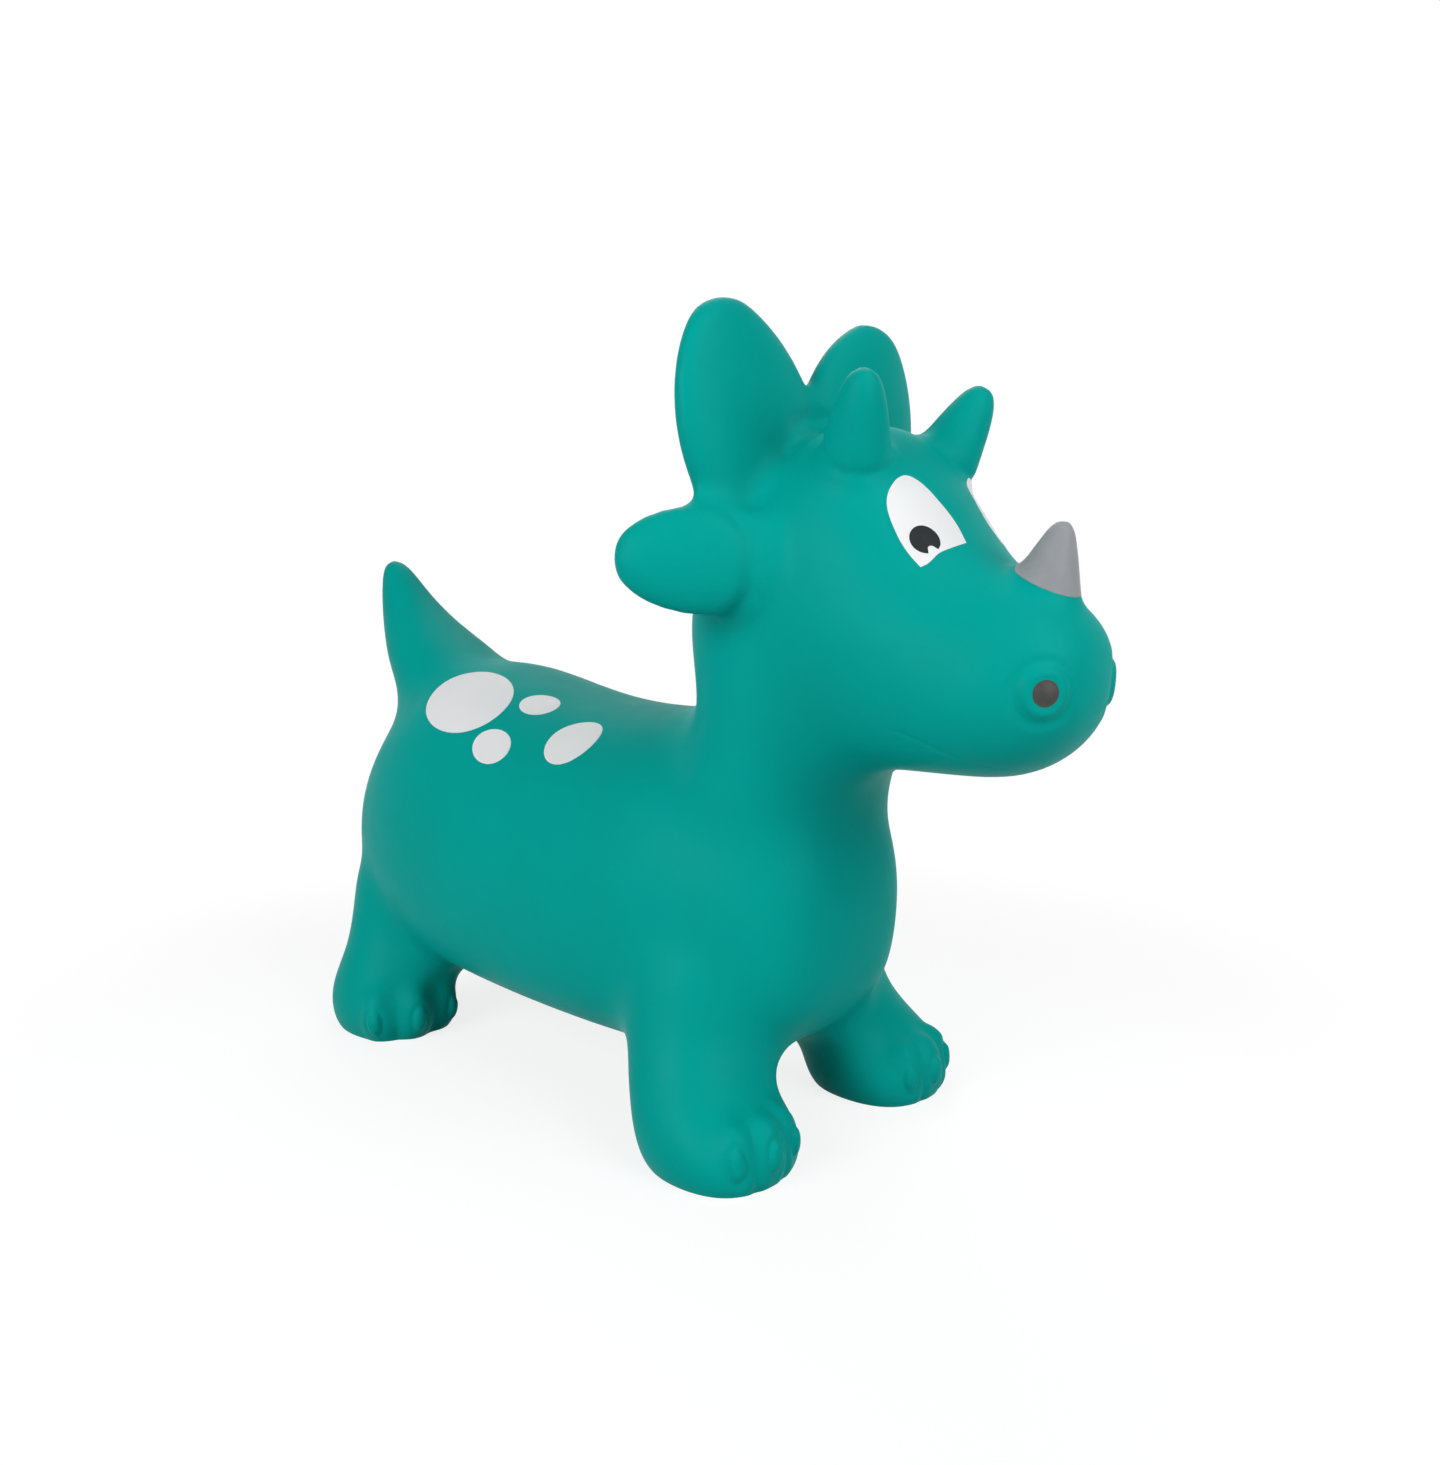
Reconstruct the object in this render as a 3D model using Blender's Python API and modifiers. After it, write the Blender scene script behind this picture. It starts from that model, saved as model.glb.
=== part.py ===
"""An inflatable bouncing animal to ride on: a young horned dinosaur.

The toy is one hollow skin of soft PVC, cast in a mould, with a valve in its belly that an air plug
closes. The nose horn, the nostrils, the eyes and the spots on the back are coats of paint.

Metres, +Z up. The animal faces -Y and stands on Z = 0. Its right side is at -X.
"""

import math
from typing import NamedTuple

import bmesh
import bpy
from mathutils import Matrix, Vector
from mathutils.bvhtree import BVHTree

# Skin, and what clears or overruns what
SKIN_WALL = 0.0025
GAP = 0.0003
OVERRUN = 0.010
MERGE_DISTANCE = 0.00005

# Sculpting grids, the radii that fill the hollows where forms meet, and face counts
CORE_GRID = 0.0040
EAR_GRID = 0.0030
DETAIL_GRID = 0.0022
HOLLOW_GRID = 0.0040
NECK_FILLET = 0.018
LEG_FILLET = 0.015
EAR_FILLET = 0.006
RING_POINTS = 12
SKIN_FACES = 7300
HOLLOW_FACES = 2100

# Trunk: a barrel from the chest to the rump
TRUNK_LENGTH = 0.446
TRUNK_WIDTH = 0.210
TRUNK_HEIGHT = 0.208
BELLY_CLEARANCE = 0.045
CHEST_Y = -0.1704
BELLY_SQUARE_SHARE = 0.36
BACK_SQUARE_SHARE = 0.02
# (along, width, low, high, narrowing) as shares of the trunk's length, width and height
TRUNK_RING_SHARES = (
    (0.00, 0.44, 0.22, 0.69, -0.06),
    (0.06, 0.71, 0.07, 0.90, -0.05),
    (0.18, 0.90, -0.022, 1.04, 0.01),
    (0.36, 1.00, -0.012, 0.985, 0.05),
    (0.56, 1.02, -0.004, 1.00, 0.06),
    (0.74, 1.02, 0.02, 1.13, 0.09),
    (0.88, 0.89, 0.07, 1.01, 0.05),
    (0.965, 0.66, 0.17, 0.74, 0.00),
    (1.00, 0.44, 0.25, 0.56, 0.00),
)

# Neck: upright from the shoulders to the crown, leaning forward
NECK_WIDTH = 0.150
NECK_DEPTH = 0.140
NECK_HEIGHT = 0.270
NECK_LEAN = 0.080
# The foot's place as shares of the trunk's length and height
NECK_FOOT_SHARES = (0.184, 0.433)
# (up, width, depth, lean) as shares of the neck's height, width, depth and lean
NECK_RING_SHARES = (
    (0.00, 1.02, 0.90, 0.02),
    (0.28, 1.07, 0.85, 0.235),
    (0.46, 1.02, 0.73, 0.48),
    (0.64, 1.05, 1.03, 0.498),
    (0.82, 1.05, 1.063, 0.70),
    (1.00, 0.80, 0.72, 0.92),
)

# Head: from the nape to the tip of the snout
HEAD_LENGTH = 0.226
HEAD_WIDTH = 0.150
HEAD_HEIGHT = 0.182
HEAD_SQUARE_SHARE = 0.12
# The nape as a share of the neck's lean, and the jaw's level as a share of its height
NAPE_SHARE = 0.025
JAW_SHARE = 0.393
# (along, width, low, high, narrowing) as shares of the head's length, width and height
HEAD_RING_SHARES = (
    (0.00, 0.56, 0.38, 0.78, 0.00),
    (0.12, 0.92, 0.12, 0.94, 0.00),
    (0.30, 1.04, -0.02, 1.01, -0.02),
    (0.46, 1.00, -0.02, 1.015, 0.02),
    (0.60, 0.89, -0.02, 0.795, 0.18),
    (0.72, 0.83, -0.02, 0.590, 0.16),
    (0.84, 0.77, -0.005, 0.555, 0.06),
    (0.94, 0.55, 0.085, 0.490, 0.00),
    (1.00, 0.32, 0.19, 0.39, 0.00),
)

# Legs: rings from under the sole up into the trunk
LEG_HEIGHT = 0.135
LEG_SPREAD = 0.079
LEG_LEAN_IN = 0.026
FRONT_LEG_RADIUS = 0.0475
REAR_LEG_RADIUS = 0.0475
FRONT_LEG_LEAN_BACK = 0.038
REAR_LEG_LEAN_BACK = 0.002
FRONT_LEG_SHARE = 0.102
REAR_LEG_SHARE = 0.845
FOOT_SQUARE_SHARE = 0.22
FOOT_WIDTH_SHARE = 0.93
# (up, radius, tuck, lean, footing) as shares of the leg's height, radius and leans. The footing goes
# from 0, a round leg, to 1, a foot with its full squareness and narrowness.
LEG_RING_SHARES = (
    (-0.08, 0.74, 0.00, -0.04, 1.00),
    (0.00, 0.90, 0.00, -0.04, 1.00),
    (0.09, 0.98, 0.00, -0.02, 1.00),
    (0.19, 0.97, 0.05, 0.08, 0.80),
    (0.31, 0.87, 0.20, 0.42, 0.40),
    (0.43, 0.84, 0.45, 0.70, 0.10),
    (0.58, 0.90, 0.75, 0.90, 0.00),
    (0.78, 0.96, 1.05, 1.00, 0.00),
    (1.00, 0.90, 1.25, 1.00, 0.00),
)

# Toes: three low swellings on each foot, each with an oval nail
TOE_WIDTH = 0.025
TOE_DEPTH = 0.030
TOE_HEIGHT = 0.038
NAIL_WIDTH = 0.0112
NAIL_THICKNESS = 0.0048
NAIL_HEIGHT = 0.0184
NAIL_TILT = math.radians(24)
# How far out the toes and nails lie, as shares of the leg's radius, and up, of the toe's height
TOE_REACH_SHARE = 0.70
NAIL_REACH_SHARE = 0.970
TOE_UP_SHARE = 0.42
# Toes' turns outward from straight ahead
FRONT_TOE_TURNS = (math.radians(35), math.radians(3), math.radians(-26))
REAR_TOE_TURNS = (math.radians(52), math.radians(13), math.radians(-25))

# Tail: level rings from inside the rump up to the tip
TAIL_RADIUS = 0.056
TAIL_HEIGHT = 0.132
TAIL_SWEEP = 0.104
TAIL_FLATNESS_SHARE = 0.90
# The foot's place as shares of the trunk's length and height
TAIL_FOOT_SHARES = (0.843, 0.841)
# (up, back, radius) as shares of the tail's height, sweep and radius
TAIL_RING_SHARES = (
    (0.00, 0.00, 0.80),
    (0.28, 0.19, 0.98),
    (0.45, 0.45, 0.78),
    (0.54, 0.60, 0.63),
    (0.63, 0.72, 0.52),
    (0.72, 0.81, 0.42),
    (0.82, 0.895, 0.33),
    (0.92, 0.96, 0.25),
    (0.99, 1.00, 0.15),
)

# Brow horns: two blunt cones on the crown
BROW_HORN_RADIUS = 0.0220
BROW_HORN_LENGTH = 0.065
BROW_HORN_ASIDE = math.radians(20.5)
BROW_HORN_FORWARD = math.radians(22)
# Places on the head: shares of its half width, length and height
BROW_HORN_PLACE_SHARES = (0.50, 0.425, 0.835)
# (along, radius) as shares of a horn's length and base radius
BROW_HORN_RING_SHARES = (
    (-0.12, 1.00),
    (0.10, 0.99),
    (0.35, 0.86),
    (0.60, 0.71),
    (0.80, 0.56),
    (0.94, 0.40),
    (1.00, 0.20),
)

# Nose horn: a cone on the snout, swept forward, grey above an edge that dips to the front
NOSE_HORN_RADIUS = 0.0215
NOSE_HORN_LENGTH = 0.053
NOSE_HORN_FORWARD = math.radians(15)
NOSE_HORN_PLACE_SHARES = (0, 0.836, 0.451)
NOSE_COAT_SHARE = 0.33
NOSE_COAT_RADIUS_SHARE = 0.88
NOSE_COAT_DIP = math.radians(9)
NOSE_HORN_RING_SHARES = (
    (-0.12, 1.00),
    (0.10, 0.98),
    (0.35, 0.82),
    (0.60, 0.60),
    (0.80, 0.42),
    (0.94, 0.28),
    (1.00, 0.14),
)

# Upper ears: two broad leaves standing on the back of the head
UPPER_EAR_LENGTH = 0.113
UPPER_EAR_WIDTH = 0.106
UPPER_EAR_THICKNESS = 0.034
UPPER_EAR_ASIDE = math.radians(13)
UPPER_EAR_BACK = math.radians(2)
UPPER_EAR_SWEEP = math.radians(1)
UPPER_EAR_PLACE_SHARES = (0.60, 0.142, 0.769)
# (along, width, thickness, aside) as shares of the ear's length, width, thickness and width
UPPER_EAR_RING_SHARES = (
    (-0.16, 0.94, 1.00, -0.12),
    (0.06, 1.04, 1.00, -0.12),
    (0.30, 1.09, 0.96, -0.06),
    (0.54, 1.02, 0.88, -0.03),
    (0.76, 0.80, 0.76, -0.005),
    (0.92, 0.49, 0.60, 0.02),
    (1.00, 0.23, 0.34, 0.02),
)

# Side ears: two ovals standing out from the cheeks
SIDE_EAR_LENGTH = 0.094
SIDE_EAR_WIDTH = 0.060
SIDE_EAR_THICKNESS = 0.032
SIDE_EAR_LIFT = math.radians(2.5)
SIDE_EAR_SWEEP = math.radians(40)
SIDE_EAR_PLACE_SHARES = (0.827, 0.310, 0.593)
SIDE_EAR_RING_SHARES = (
    (-0.16, 0.76, 1.00, 0.00),
    (0.06, 0.84, 1.00, 0.00),
    (0.30, 0.96, 0.98, 0.00),
    (0.54, 1.00, 0.90, 0.00),
    (0.76, 0.86, 0.78, 0.00),
    (0.92, 0.58, 0.60, 0.00),
    (1.00, 0.28, 0.34, 0.00),
)

# Nostrils: a low rim round a small dome, both sunk a little in the snout
NOSTRIL_PLACE_SHARES = (0.493, 0.956, 0.260)
NOSTRIL_TURN = math.radians(38)
NOSTRIL_LIFT = math.radians(-2)
NOSTRIL_RIM_RADIUS = 0.0112
NOSTRIL_RIM_THICKNESS = 0.0056
NOSTRIL_DOME_RADIUS = 0.0086
NOSTRIL_DOME_RISE = 0.0036
NOSTRIL_SINK = 0.0022
NOSTRIL_COAT_SHARE = 0.80

# Valve under the belly, and its air plug. The valve's place is a share of the trunk's length.
VALVE_SHARE = 0.534
VALVE_BOSS_RADIUS = 0.0125
VALVE_BOSS_HEIGHT = 0.0120
PLUG_HEAD_RADIUS = 0.0095
PLUG_HEAD_THICKNESS = 0.0020
PLUG_STEM_RADIUS = 0.0038
PLUG_RIB_HEIGHT = 0.0008
PLUG_STEM_LENGTH = 0.0170
PLUG_RIBS = 3
PLUG_SIDES = 24

# Coats of paint
COAT_THICKNESS = 0.0004
COAT_POINTS = 28
COAT_REACH_SHARE = 1.3

# Spots on each side of the back, sized from the largest
SPOT_LENGTH = 0.087
# Place as shares of the trunk's half width, length and height. Turn outward from straight ahead,
# lift above level and tilt of the long way as shares of a right angle. Length and width as shares
# of the largest spot's length. The last share draws one end in to make an egg.
SPOT_SHARES = (
    ((0.472, 0.711, 0.975), (0.977, 0.636, -0.333), (1.00, 0.760), 0.0),
    ((0.350, 0.563, 0.985), (0.733, 0.742, -0.522), (0.37, 0.280), 0.0),
    ((0.716, 0.572, 0.863), (0.903, 0.478, -0.222), (0.38, 0.310), 0.0),
    ((0.543, 0.442, 0.897), (0.908, 0.627, 0.689), (0.490, 0.435), 0.20),
)

# Eyes: an almond with a top, an outer foot and an inner corner, and a pupil with a notch of light
EYE_PLACE_SHARES = (0.461, 0.610, 0.729)
EYE_TURN = math.radians(28.3)
EYE_LIFT = math.radians(36.9)
EYE_WIDTH = 0.041
EYE_HEIGHT = 0.058
# (across, up) as shares of the eye's width and height
EYE_OUTLINE_SHARES = (
    (0.00, 0.51), (-0.14, 0.47), (-0.25, 0.40), (-0.35, 0.30), (-0.40, 0.18), (-0.40, 0.06),
    (-0.37, -0.08), (-0.33, -0.20), (-0.26, -0.34), (-0.165, -0.485), (-0.02, -0.43), (0.12, -0.36),
    (0.32, -0.29), (0.60, -0.20), (0.57, 0.00), (0.49, 0.15), (0.38, 0.28), (0.26, 0.40), (0.13, 0.48),
)
PUPIL_RADIUS = 0.0085
# The pupil's place as shares of the eye's width and height, and the glint's and its radius as
# shares of the pupil's radius
PUPIL_PLACE_SHARES = (-0.026, -0.198)
GLINT_PLACE_SHARES = (0.26, -0.74)
GLINT_RADIUS_SHARE = 0.28

# Colours of the moulded skin and the coats, as shares of full red, green and blue on a screen
TEAL_SHARES = (0.035, 0.62, 0.585)
GREY_SHARES = (0.60, 0.61, 0.63)
WHITE_SHARES = (0.91, 0.92, 0.93)
BLACK_SHARES = (0.06, 0.065, 0.07)
NOSTRIL_SHARES = (0.20, 0.19, 0.19)
PLUG_SHARES = (0.88, 0.89, 0.88)


class LegKind(NamedTuple):
    """What tells the front legs from the rear legs."""

    place_share: float
    radius: float
    lean_back: float
    toe_turns: tuple


FRONT = LegKind(FRONT_LEG_SHARE, FRONT_LEG_RADIUS, FRONT_LEG_LEAN_BACK, FRONT_TOE_TURNS)
REAR = LegKind(REAR_LEG_SHARE, REAR_LEG_RADIUS, REAR_LEG_LEAN_BACK, REAR_TOE_TURNS)
RIGHT = -1
LEFT = 1


def trunk_point(across, along, up):
    """A place from shares of the trunk's half width, length and height."""
    return Vector((across * TRUNK_WIDTH / 2, CHEST_Y + along * TRUNK_LENGTH,
                   BELLY_CLEARANCE + up * TRUNK_HEIGHT))


def head_point(across, along, up):
    """A place from shares of the head's half width, length and height."""
    neck_foot = trunk_point(0, *NECK_FOOT_SHARES)
    return Vector((across * HEAD_WIDTH / 2, neck_foot.y - NAPE_SHARE * NECK_LEAN - along * HEAD_LENGTH,
                   neck_foot.z + JAW_SHARE * NECK_HEIGHT + up * HEAD_HEIGHT))


def facing(side, turn, lift):
    """A direction turned outward from straight ahead on one side, and lifted above level."""
    level = math.cos(lift)
    return Vector((side * level * math.sin(turn), -level * math.cos(turn), math.sin(lift)))


def new_object(name, mesh, collection=None):
    """Put a mesh in the scene as an object."""
    item = bpy.data.objects.new(name, mesh)
    (collection or bpy.context.scene.collection).objects.link(item)
    return item


def caged(name, rings, levels=2):
    """A smooth closed form from a coarse cage of rings."""
    mesh = bpy.data.meshes.new(name)
    shape = bmesh.new()
    loops = [[shape.verts.new(point) for point in points] for points in rings]
    for low, high in zip(loops, loops[1:]):
        for i in range(len(low)):
            j = (i + 1) % len(low)
            shape.faces.new((low[i], low[j], high[j], high[i]))
    shape.faces.new(reversed(loops[0]))
    shape.faces.new(loops[-1])
    bmesh.ops.recalc_face_normals(shape, faces=shape.faces)
    shape.to_mesh(mesh)
    shape.free()
    form = new_object(name, mesh)
    smooth_cage = form.modifiers.new("smooth_cage", "SUBSURF")
    smooth_cage.levels = levels
    smooth_cage.render_levels = levels
    return form


def ring(centre, across, along, low_square=0.0, high_square=0.0, narrowing=0.0):
    """Points round a centre. Smoothing draws a ring in, so its points lie that much further out.

    The squareness of the two halves goes from 0, an ellipse, towards 1, a box. Narrowing draws in
    the ring's high half and widens its low half.
    """
    step = 2 * math.pi / RING_POINTS
    swell = 3 / (2 + math.cos(step))
    points = []
    for i in range(RING_POINTS):
        c, s = math.cos(i * step), math.sin(i * step)
        power = 1 - (high_square if s > 0 else low_square)
        c = math.copysign(abs(c) ** power, c) * (1 - narrowing * s)
        s = math.copysign(abs(s) ** power, s)
        points.append(Vector(centre) + swell * (c * Vector(across) + s * Vector(along)))
    return points


def lengthwise_form(name, point, width, height, ring_shares, low_square, high_square):
    """A form with upright rings along the body, whose point function places shares."""
    rings = []
    for along, wide, low, high, narrowing in ring_shares:
        rings.append(ring(point(0, along, (low + high) / 2), (wide * width / 2, 0, 0),
                          (0, 0, (high - low) / 2 * height), low_square, high_square, narrowing))
    return caged(name, rings)


def trunk():
    return lengthwise_form("trunk", trunk_point, TRUNK_WIDTH, TRUNK_HEIGHT, TRUNK_RING_SHARES,
                           BELLY_SQUARE_SHARE, BACK_SQUARE_SHARE)


def head():
    return lengthwise_form("head", head_point, HEAD_WIDTH, HEAD_HEIGHT, HEAD_RING_SHARES,
                           HEAD_SQUARE_SHARE, HEAD_SQUARE_SHARE)


def neck():
    foot = trunk_point(0, *NECK_FOOT_SHARES)
    rings = []
    for up, wide, deep, lean in NECK_RING_SHARES:
        centre = foot + Vector((0, -lean * NECK_LEAN, up * NECK_HEIGHT))
        rings.append(ring(centre, (wide * NECK_WIDTH / 2, 0, 0), (0, deep * NECK_DEPTH / 2, 0)))
    return caged("neck", rings)


def sole_point(side, kind):
    """The middle of a foot's sole."""
    return Vector((side * LEG_SPREAD, trunk_point(0, kind.place_share, 0).y, 0))


def leg(side, kind):
    rings = []
    for up, wide, tuck, lean, footing in LEG_RING_SHARES:
        shift = Vector((-side * tuck * LEG_LEAN_IN, lean * kind.lean_back, up * LEG_HEIGHT))
        radius = wide * kind.radius
        width = 1 - footing * (1 - FOOT_WIDTH_SHARE)
        corner = footing * FOOT_SQUARE_SHARE
        rings.append(ring(sole_point(side, kind) + shift, (width * radius, 0, 0), (0, radius, 0),
                          corner, corner))
    return caged("leg", rings)


def tail():
    foot = trunk_point(0, *TAIL_FOOT_SHARES)
    rings = []
    for up, back, wide in TAIL_RING_SHARES:
        centre = foot + Vector((0, back * TAIL_SWEEP, up * TAIL_HEIGHT))
        radius = wide * TAIL_RADIUS
        rings.append(ring(centre, (TAIL_FLATNESS_SHARE * radius, 0, 0), (0, radius, 0)))
    return caged("tail", rings)


def horn_axis(side, aside, forward, length):
    """A horn's line from its base to its tip, leaning to its own side and forward."""
    return length * Vector((side * math.tan(aside), -math.tan(forward), 1)).normalized()


def horn(name, base, axis, radius, ring_shares):
    """A blunt cone from a base along an axis."""
    across = axis.cross(Vector((0, 1, 0))).normalized()
    along = axis.cross(across).normalized()
    rings = [ring(base + share * axis, wide * radius * across, wide * radius * along)
             for share, wide in ring_shares]
    return caged(name, rings)


def brow_horn(side):
    across, along, up = BROW_HORN_PLACE_SHARES
    axis = horn_axis(side, BROW_HORN_ASIDE, BROW_HORN_FORWARD, BROW_HORN_LENGTH)
    return horn("brow_horn", head_point(side * across, along, up), axis, BROW_HORN_RADIUS,
                BROW_HORN_RING_SHARES)


def nose_horn_line():
    """The nose horn's base and its line to the tip."""
    return head_point(*NOSE_HORN_PLACE_SHARES), horn_axis(0, 0, NOSE_HORN_FORWARD, NOSE_HORN_LENGTH)


def nose_horn():
    base, axis = nose_horn_line()
    return horn("nose_horn", base, axis, NOSE_HORN_RADIUS, NOSE_HORN_RING_SHARES)


def ear(name, base, axis, across, width, thickness, ring_shares):
    """A leaf that tapers and thins towards its tip."""
    through = axis.cross(across).normalized()
    rings = []
    for along, wide, thick, aside in ring_shares:
        centre = base + along * axis + aside * width * across
        rings.append(ring(centre, wide * width / 2 * across, thick * thickness / 2 * through))
    return caged(name, rings)


def square_to(direction, axis):
    """The part of a direction that is square to an axis, at length one."""
    return (direction - direction.project(axis)).normalized()


def upper_ear(side):
    across, along, up = UPPER_EAR_PLACE_SHARES
    axis = UPPER_EAR_LENGTH * Vector((side * math.tan(UPPER_EAR_ASIDE), math.tan(UPPER_EAR_BACK), 1))
    outward = Vector((side * math.cos(UPPER_EAR_SWEEP), math.sin(UPPER_EAR_SWEEP), 0))
    return ear("upper_ear", head_point(side * across, along, up), axis, square_to(outward, axis),
               UPPER_EAR_WIDTH, UPPER_EAR_THICKNESS, UPPER_EAR_RING_SHARES)


def side_ear(side):
    across, along, up = SIDE_EAR_PLACE_SHARES
    axis = SIDE_EAR_LENGTH * Vector((side * math.cos(SIDE_EAR_SWEEP), math.sin(SIDE_EAR_SWEEP),
                                     math.tan(SIDE_EAR_LIFT)))
    return ear("side_ear", head_point(side * across, along, up), axis, square_to(Vector((0, 0, 1)), axis),
               SIDE_EAR_WIDTH, SIDE_EAR_THICKNESS, SIDE_EAR_RING_SHARES)


def evaluated_mesh(item):
    """The object's mesh with its modifiers, in the scene's frame."""
    graph = bpy.context.evaluated_depsgraph_get()
    mesh = bpy.data.meshes.new_from_object(item.evaluated_get(graph))
    mesh.transform(item.matrix_world)
    return mesh


def bake(item):
    """Replace an object's mesh by what its modifiers make of it."""
    mesh = evaluated_mesh(item)
    item.modifiers.clear()
    item.data = mesh
    return item


def remesh(item, grid):
    step = item.modifiers.new("remesh", "REMESH")
    step.mode = "VOXEL"
    step.voxel_size = grid


def displace(item, distance):
    step = item.modifiers.new("offset", "DISPLACE")
    step.mid_level = 0
    step.strength = distance


def smooth(item, turns):
    step = item.modifiers.new("smooth", "SMOOTH")
    step.factor = 0.5
    step.iterations = turns


def joined(name, forms):
    """One object that holds several forms' meshes, with the forms removed."""
    mesh = bpy.data.meshes.new(name)
    shape = bmesh.new()
    for form in forms:
        shape.from_mesh(evaluated_mesh(form))
        bpy.data.objects.remove(form)
    shape.to_mesh(mesh)
    shape.free()
    return new_object(name, mesh)


def fuse(name, forms, grid, fillet):
    """Make forms one body, and fill the hollows between them to a radius."""
    body = joined(name, forms)
    remesh(body, grid)
    displace(body, fillet)
    remesh(body, grid)
    smooth(body, 2)
    displace(body, -fillet)
    remesh(body, grid)
    smooth(body, 2)
    return bake(body)


def ellipsoid(name, radii, placement):
    mesh = bpy.data.meshes.new(name)
    shape = bmesh.new()
    bmesh.ops.create_uvsphere(shape, u_segments=24, v_segments=16, radius=1)
    bmesh.ops.scale(shape, vec=radii, verts=shape.verts)
    bmesh.ops.transform(shape, matrix=placement, verts=shape.verts)
    shape.to_mesh(mesh)
    shape.free()
    return new_object(name, mesh)


def facing_frame(place, out):
    """A frame at a place whose Z points out and whose X is level."""
    out = out.normalized()
    level = Vector((0, 0, 1)).cross(out).normalized()
    turn = Matrix((level, out.cross(level), out)).transposed().to_4x4()
    return Matrix.Translation(place) @ turn


def toe_frame(side, kind, angle, reach_share):
    """A frame on one foot, as far out as a share of the foot's oval, turned outward."""
    reach = reach_share * kind.radius
    place = sole_point(side, kind) + Vector((side * FOOT_WIDTH_SHARE * reach * math.sin(angle),
                                             -reach * math.cos(angle), TOE_UP_SHARE * TOE_HEIGHT))
    return Matrix.Translation(place) @ Matrix.Rotation(side * angle, 4, "Z")


def toes(side, kind):
    """Three toes and their nails on one foot."""
    tilt = Matrix.Rotation(-NAIL_TILT, 4, "X")
    forms = []
    for angle in kind.toe_turns:
        forms.append(ellipsoid("toe", (TOE_WIDTH / 2, TOE_DEPTH / 2, TOE_HEIGHT / 2),
                               toe_frame(side, kind, angle, TOE_REACH_SHARE)))
        forms.append(ellipsoid("nail", (NAIL_WIDTH / 2, NAIL_THICKNESS / 2, NAIL_HEIGHT / 2),
                               toe_frame(side, kind, angle, NAIL_REACH_SHARE) @ tilt))
    return forms


def nostril_frame(body, side):
    """A frame on the snout's surface at one nostril."""
    across, along, up = NOSTRIL_PLACE_SHARES
    out = facing(side, NOSTRIL_TURN, NOSTRIL_LIFT)
    tree = BVHTree.FromObject(body, bpy.context.evaluated_depsgraph_get())
    seat = tree.ray_cast(head_point(side * across, along, up) + HEAD_WIDTH * out, -out)[0]
    return facing_frame(seat, out)


def nostril(body, side):
    """The rim and the dome of one nostril."""
    frame = nostril_frame(body, side) @ Matrix.Translation((0, 0, -NOSTRIL_SINK))
    dome = ellipsoid("dome", (NOSTRIL_DOME_RADIUS, NOSTRIL_DOME_RADIUS, NOSTRIL_DOME_RISE), frame)
    bpy.ops.mesh.primitive_torus_add(major_radius=NOSTRIL_RIM_RADIUS, minor_radius=NOSTRIL_RIM_THICKNESS / 2,
                                     major_segments=32, minor_segments=12)
    rim = bpy.context.object
    rim.matrix_world = frame
    bpy.context.view_layer.update()
    return [dome, rim]


def outer_form():
    """The animal's outer surface as one fine closed body."""
    body = fuse("torso", [trunk(), neck(), head(), tail()], CORE_GRID, NECK_FILLET)
    legs = [leg(side, kind) for side in (RIGHT, LEFT) for kind in (FRONT, REAR)]
    body = fuse("limbs", [body] + legs, CORE_GRID, LEG_FILLET)
    additions = [nose_horn()]
    for side in (RIGHT, LEFT):
        additions += [brow_horn(side), upper_ear(side), side_ear(side)]
    body = fuse("body", [body] + additions, EAR_GRID, EAR_FILLET)
    details = []
    for side in (RIGHT, LEFT):
        details += toes(side, FRONT) + toes(side, REAR) + nostril(body, side)
    body = joined("outer", [body] + details)
    remesh(body, DETAIL_GRID)
    smooth(body, 2)
    return bake(body)


def thinned(name, source, faces, shift=0.0):
    """A copy of a fine body with fewer faces, the same on both sides, moved in or out by a shift."""
    body = new_object(name, evaluated_mesh(source))
    if shift:
        displace(body, shift)
        remesh(body, HOLLOW_GRID)
    bake(body)
    fewer = body.modifiers.new("fewer_faces", "DECIMATE")
    fewer.ratio = faces / (2 * len(body.data.polygons))
    mirror = body.modifiers.new("same_sides", "MIRROR")
    mirror.use_bisect_axis[0] = True
    mirror.merge_threshold = MERGE_DISTANCE
    return bake(body)


def cut_level(body, height):
    """Cut a body flat at a height and close it there."""
    shape = bmesh.new()
    shape.from_mesh(body.data)
    parts = shape.verts[:] + shape.edges[:] + shape.faces[:]
    bmesh.ops.bisect_plane(shape, geom=parts, plane_co=(0, 0, height), plane_no=(0, 0, -1),
                           clear_outer=True)
    rim = [edge for edge in shape.edges if edge.is_boundary]
    bmesh.ops.holes_fill(shape, edges=rim)
    bmesh.ops.triangulate(shape, faces=shape.faces[:])
    shape.to_mesh(body.data)
    shape.free()
    return body


def boolean(target, tool, operation):
    step = target.modifiers.new(tool.name, "BOOLEAN")
    step.operation = operation
    step.solver = "EXACT"
    step.object = tool


def cutter(item):
    """Move an object to the cutters, where it shows as wires and isn't rendered."""
    move_to(item, "cutters")
    item.display_type = "WIRE"
    item.hide_render = True
    return item


def move_to(item, collection_name):
    for collection in item.users_collection:
        collection.objects.unlink(item)
    bpy.data.collections[collection_name].objects.link(item)


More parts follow.
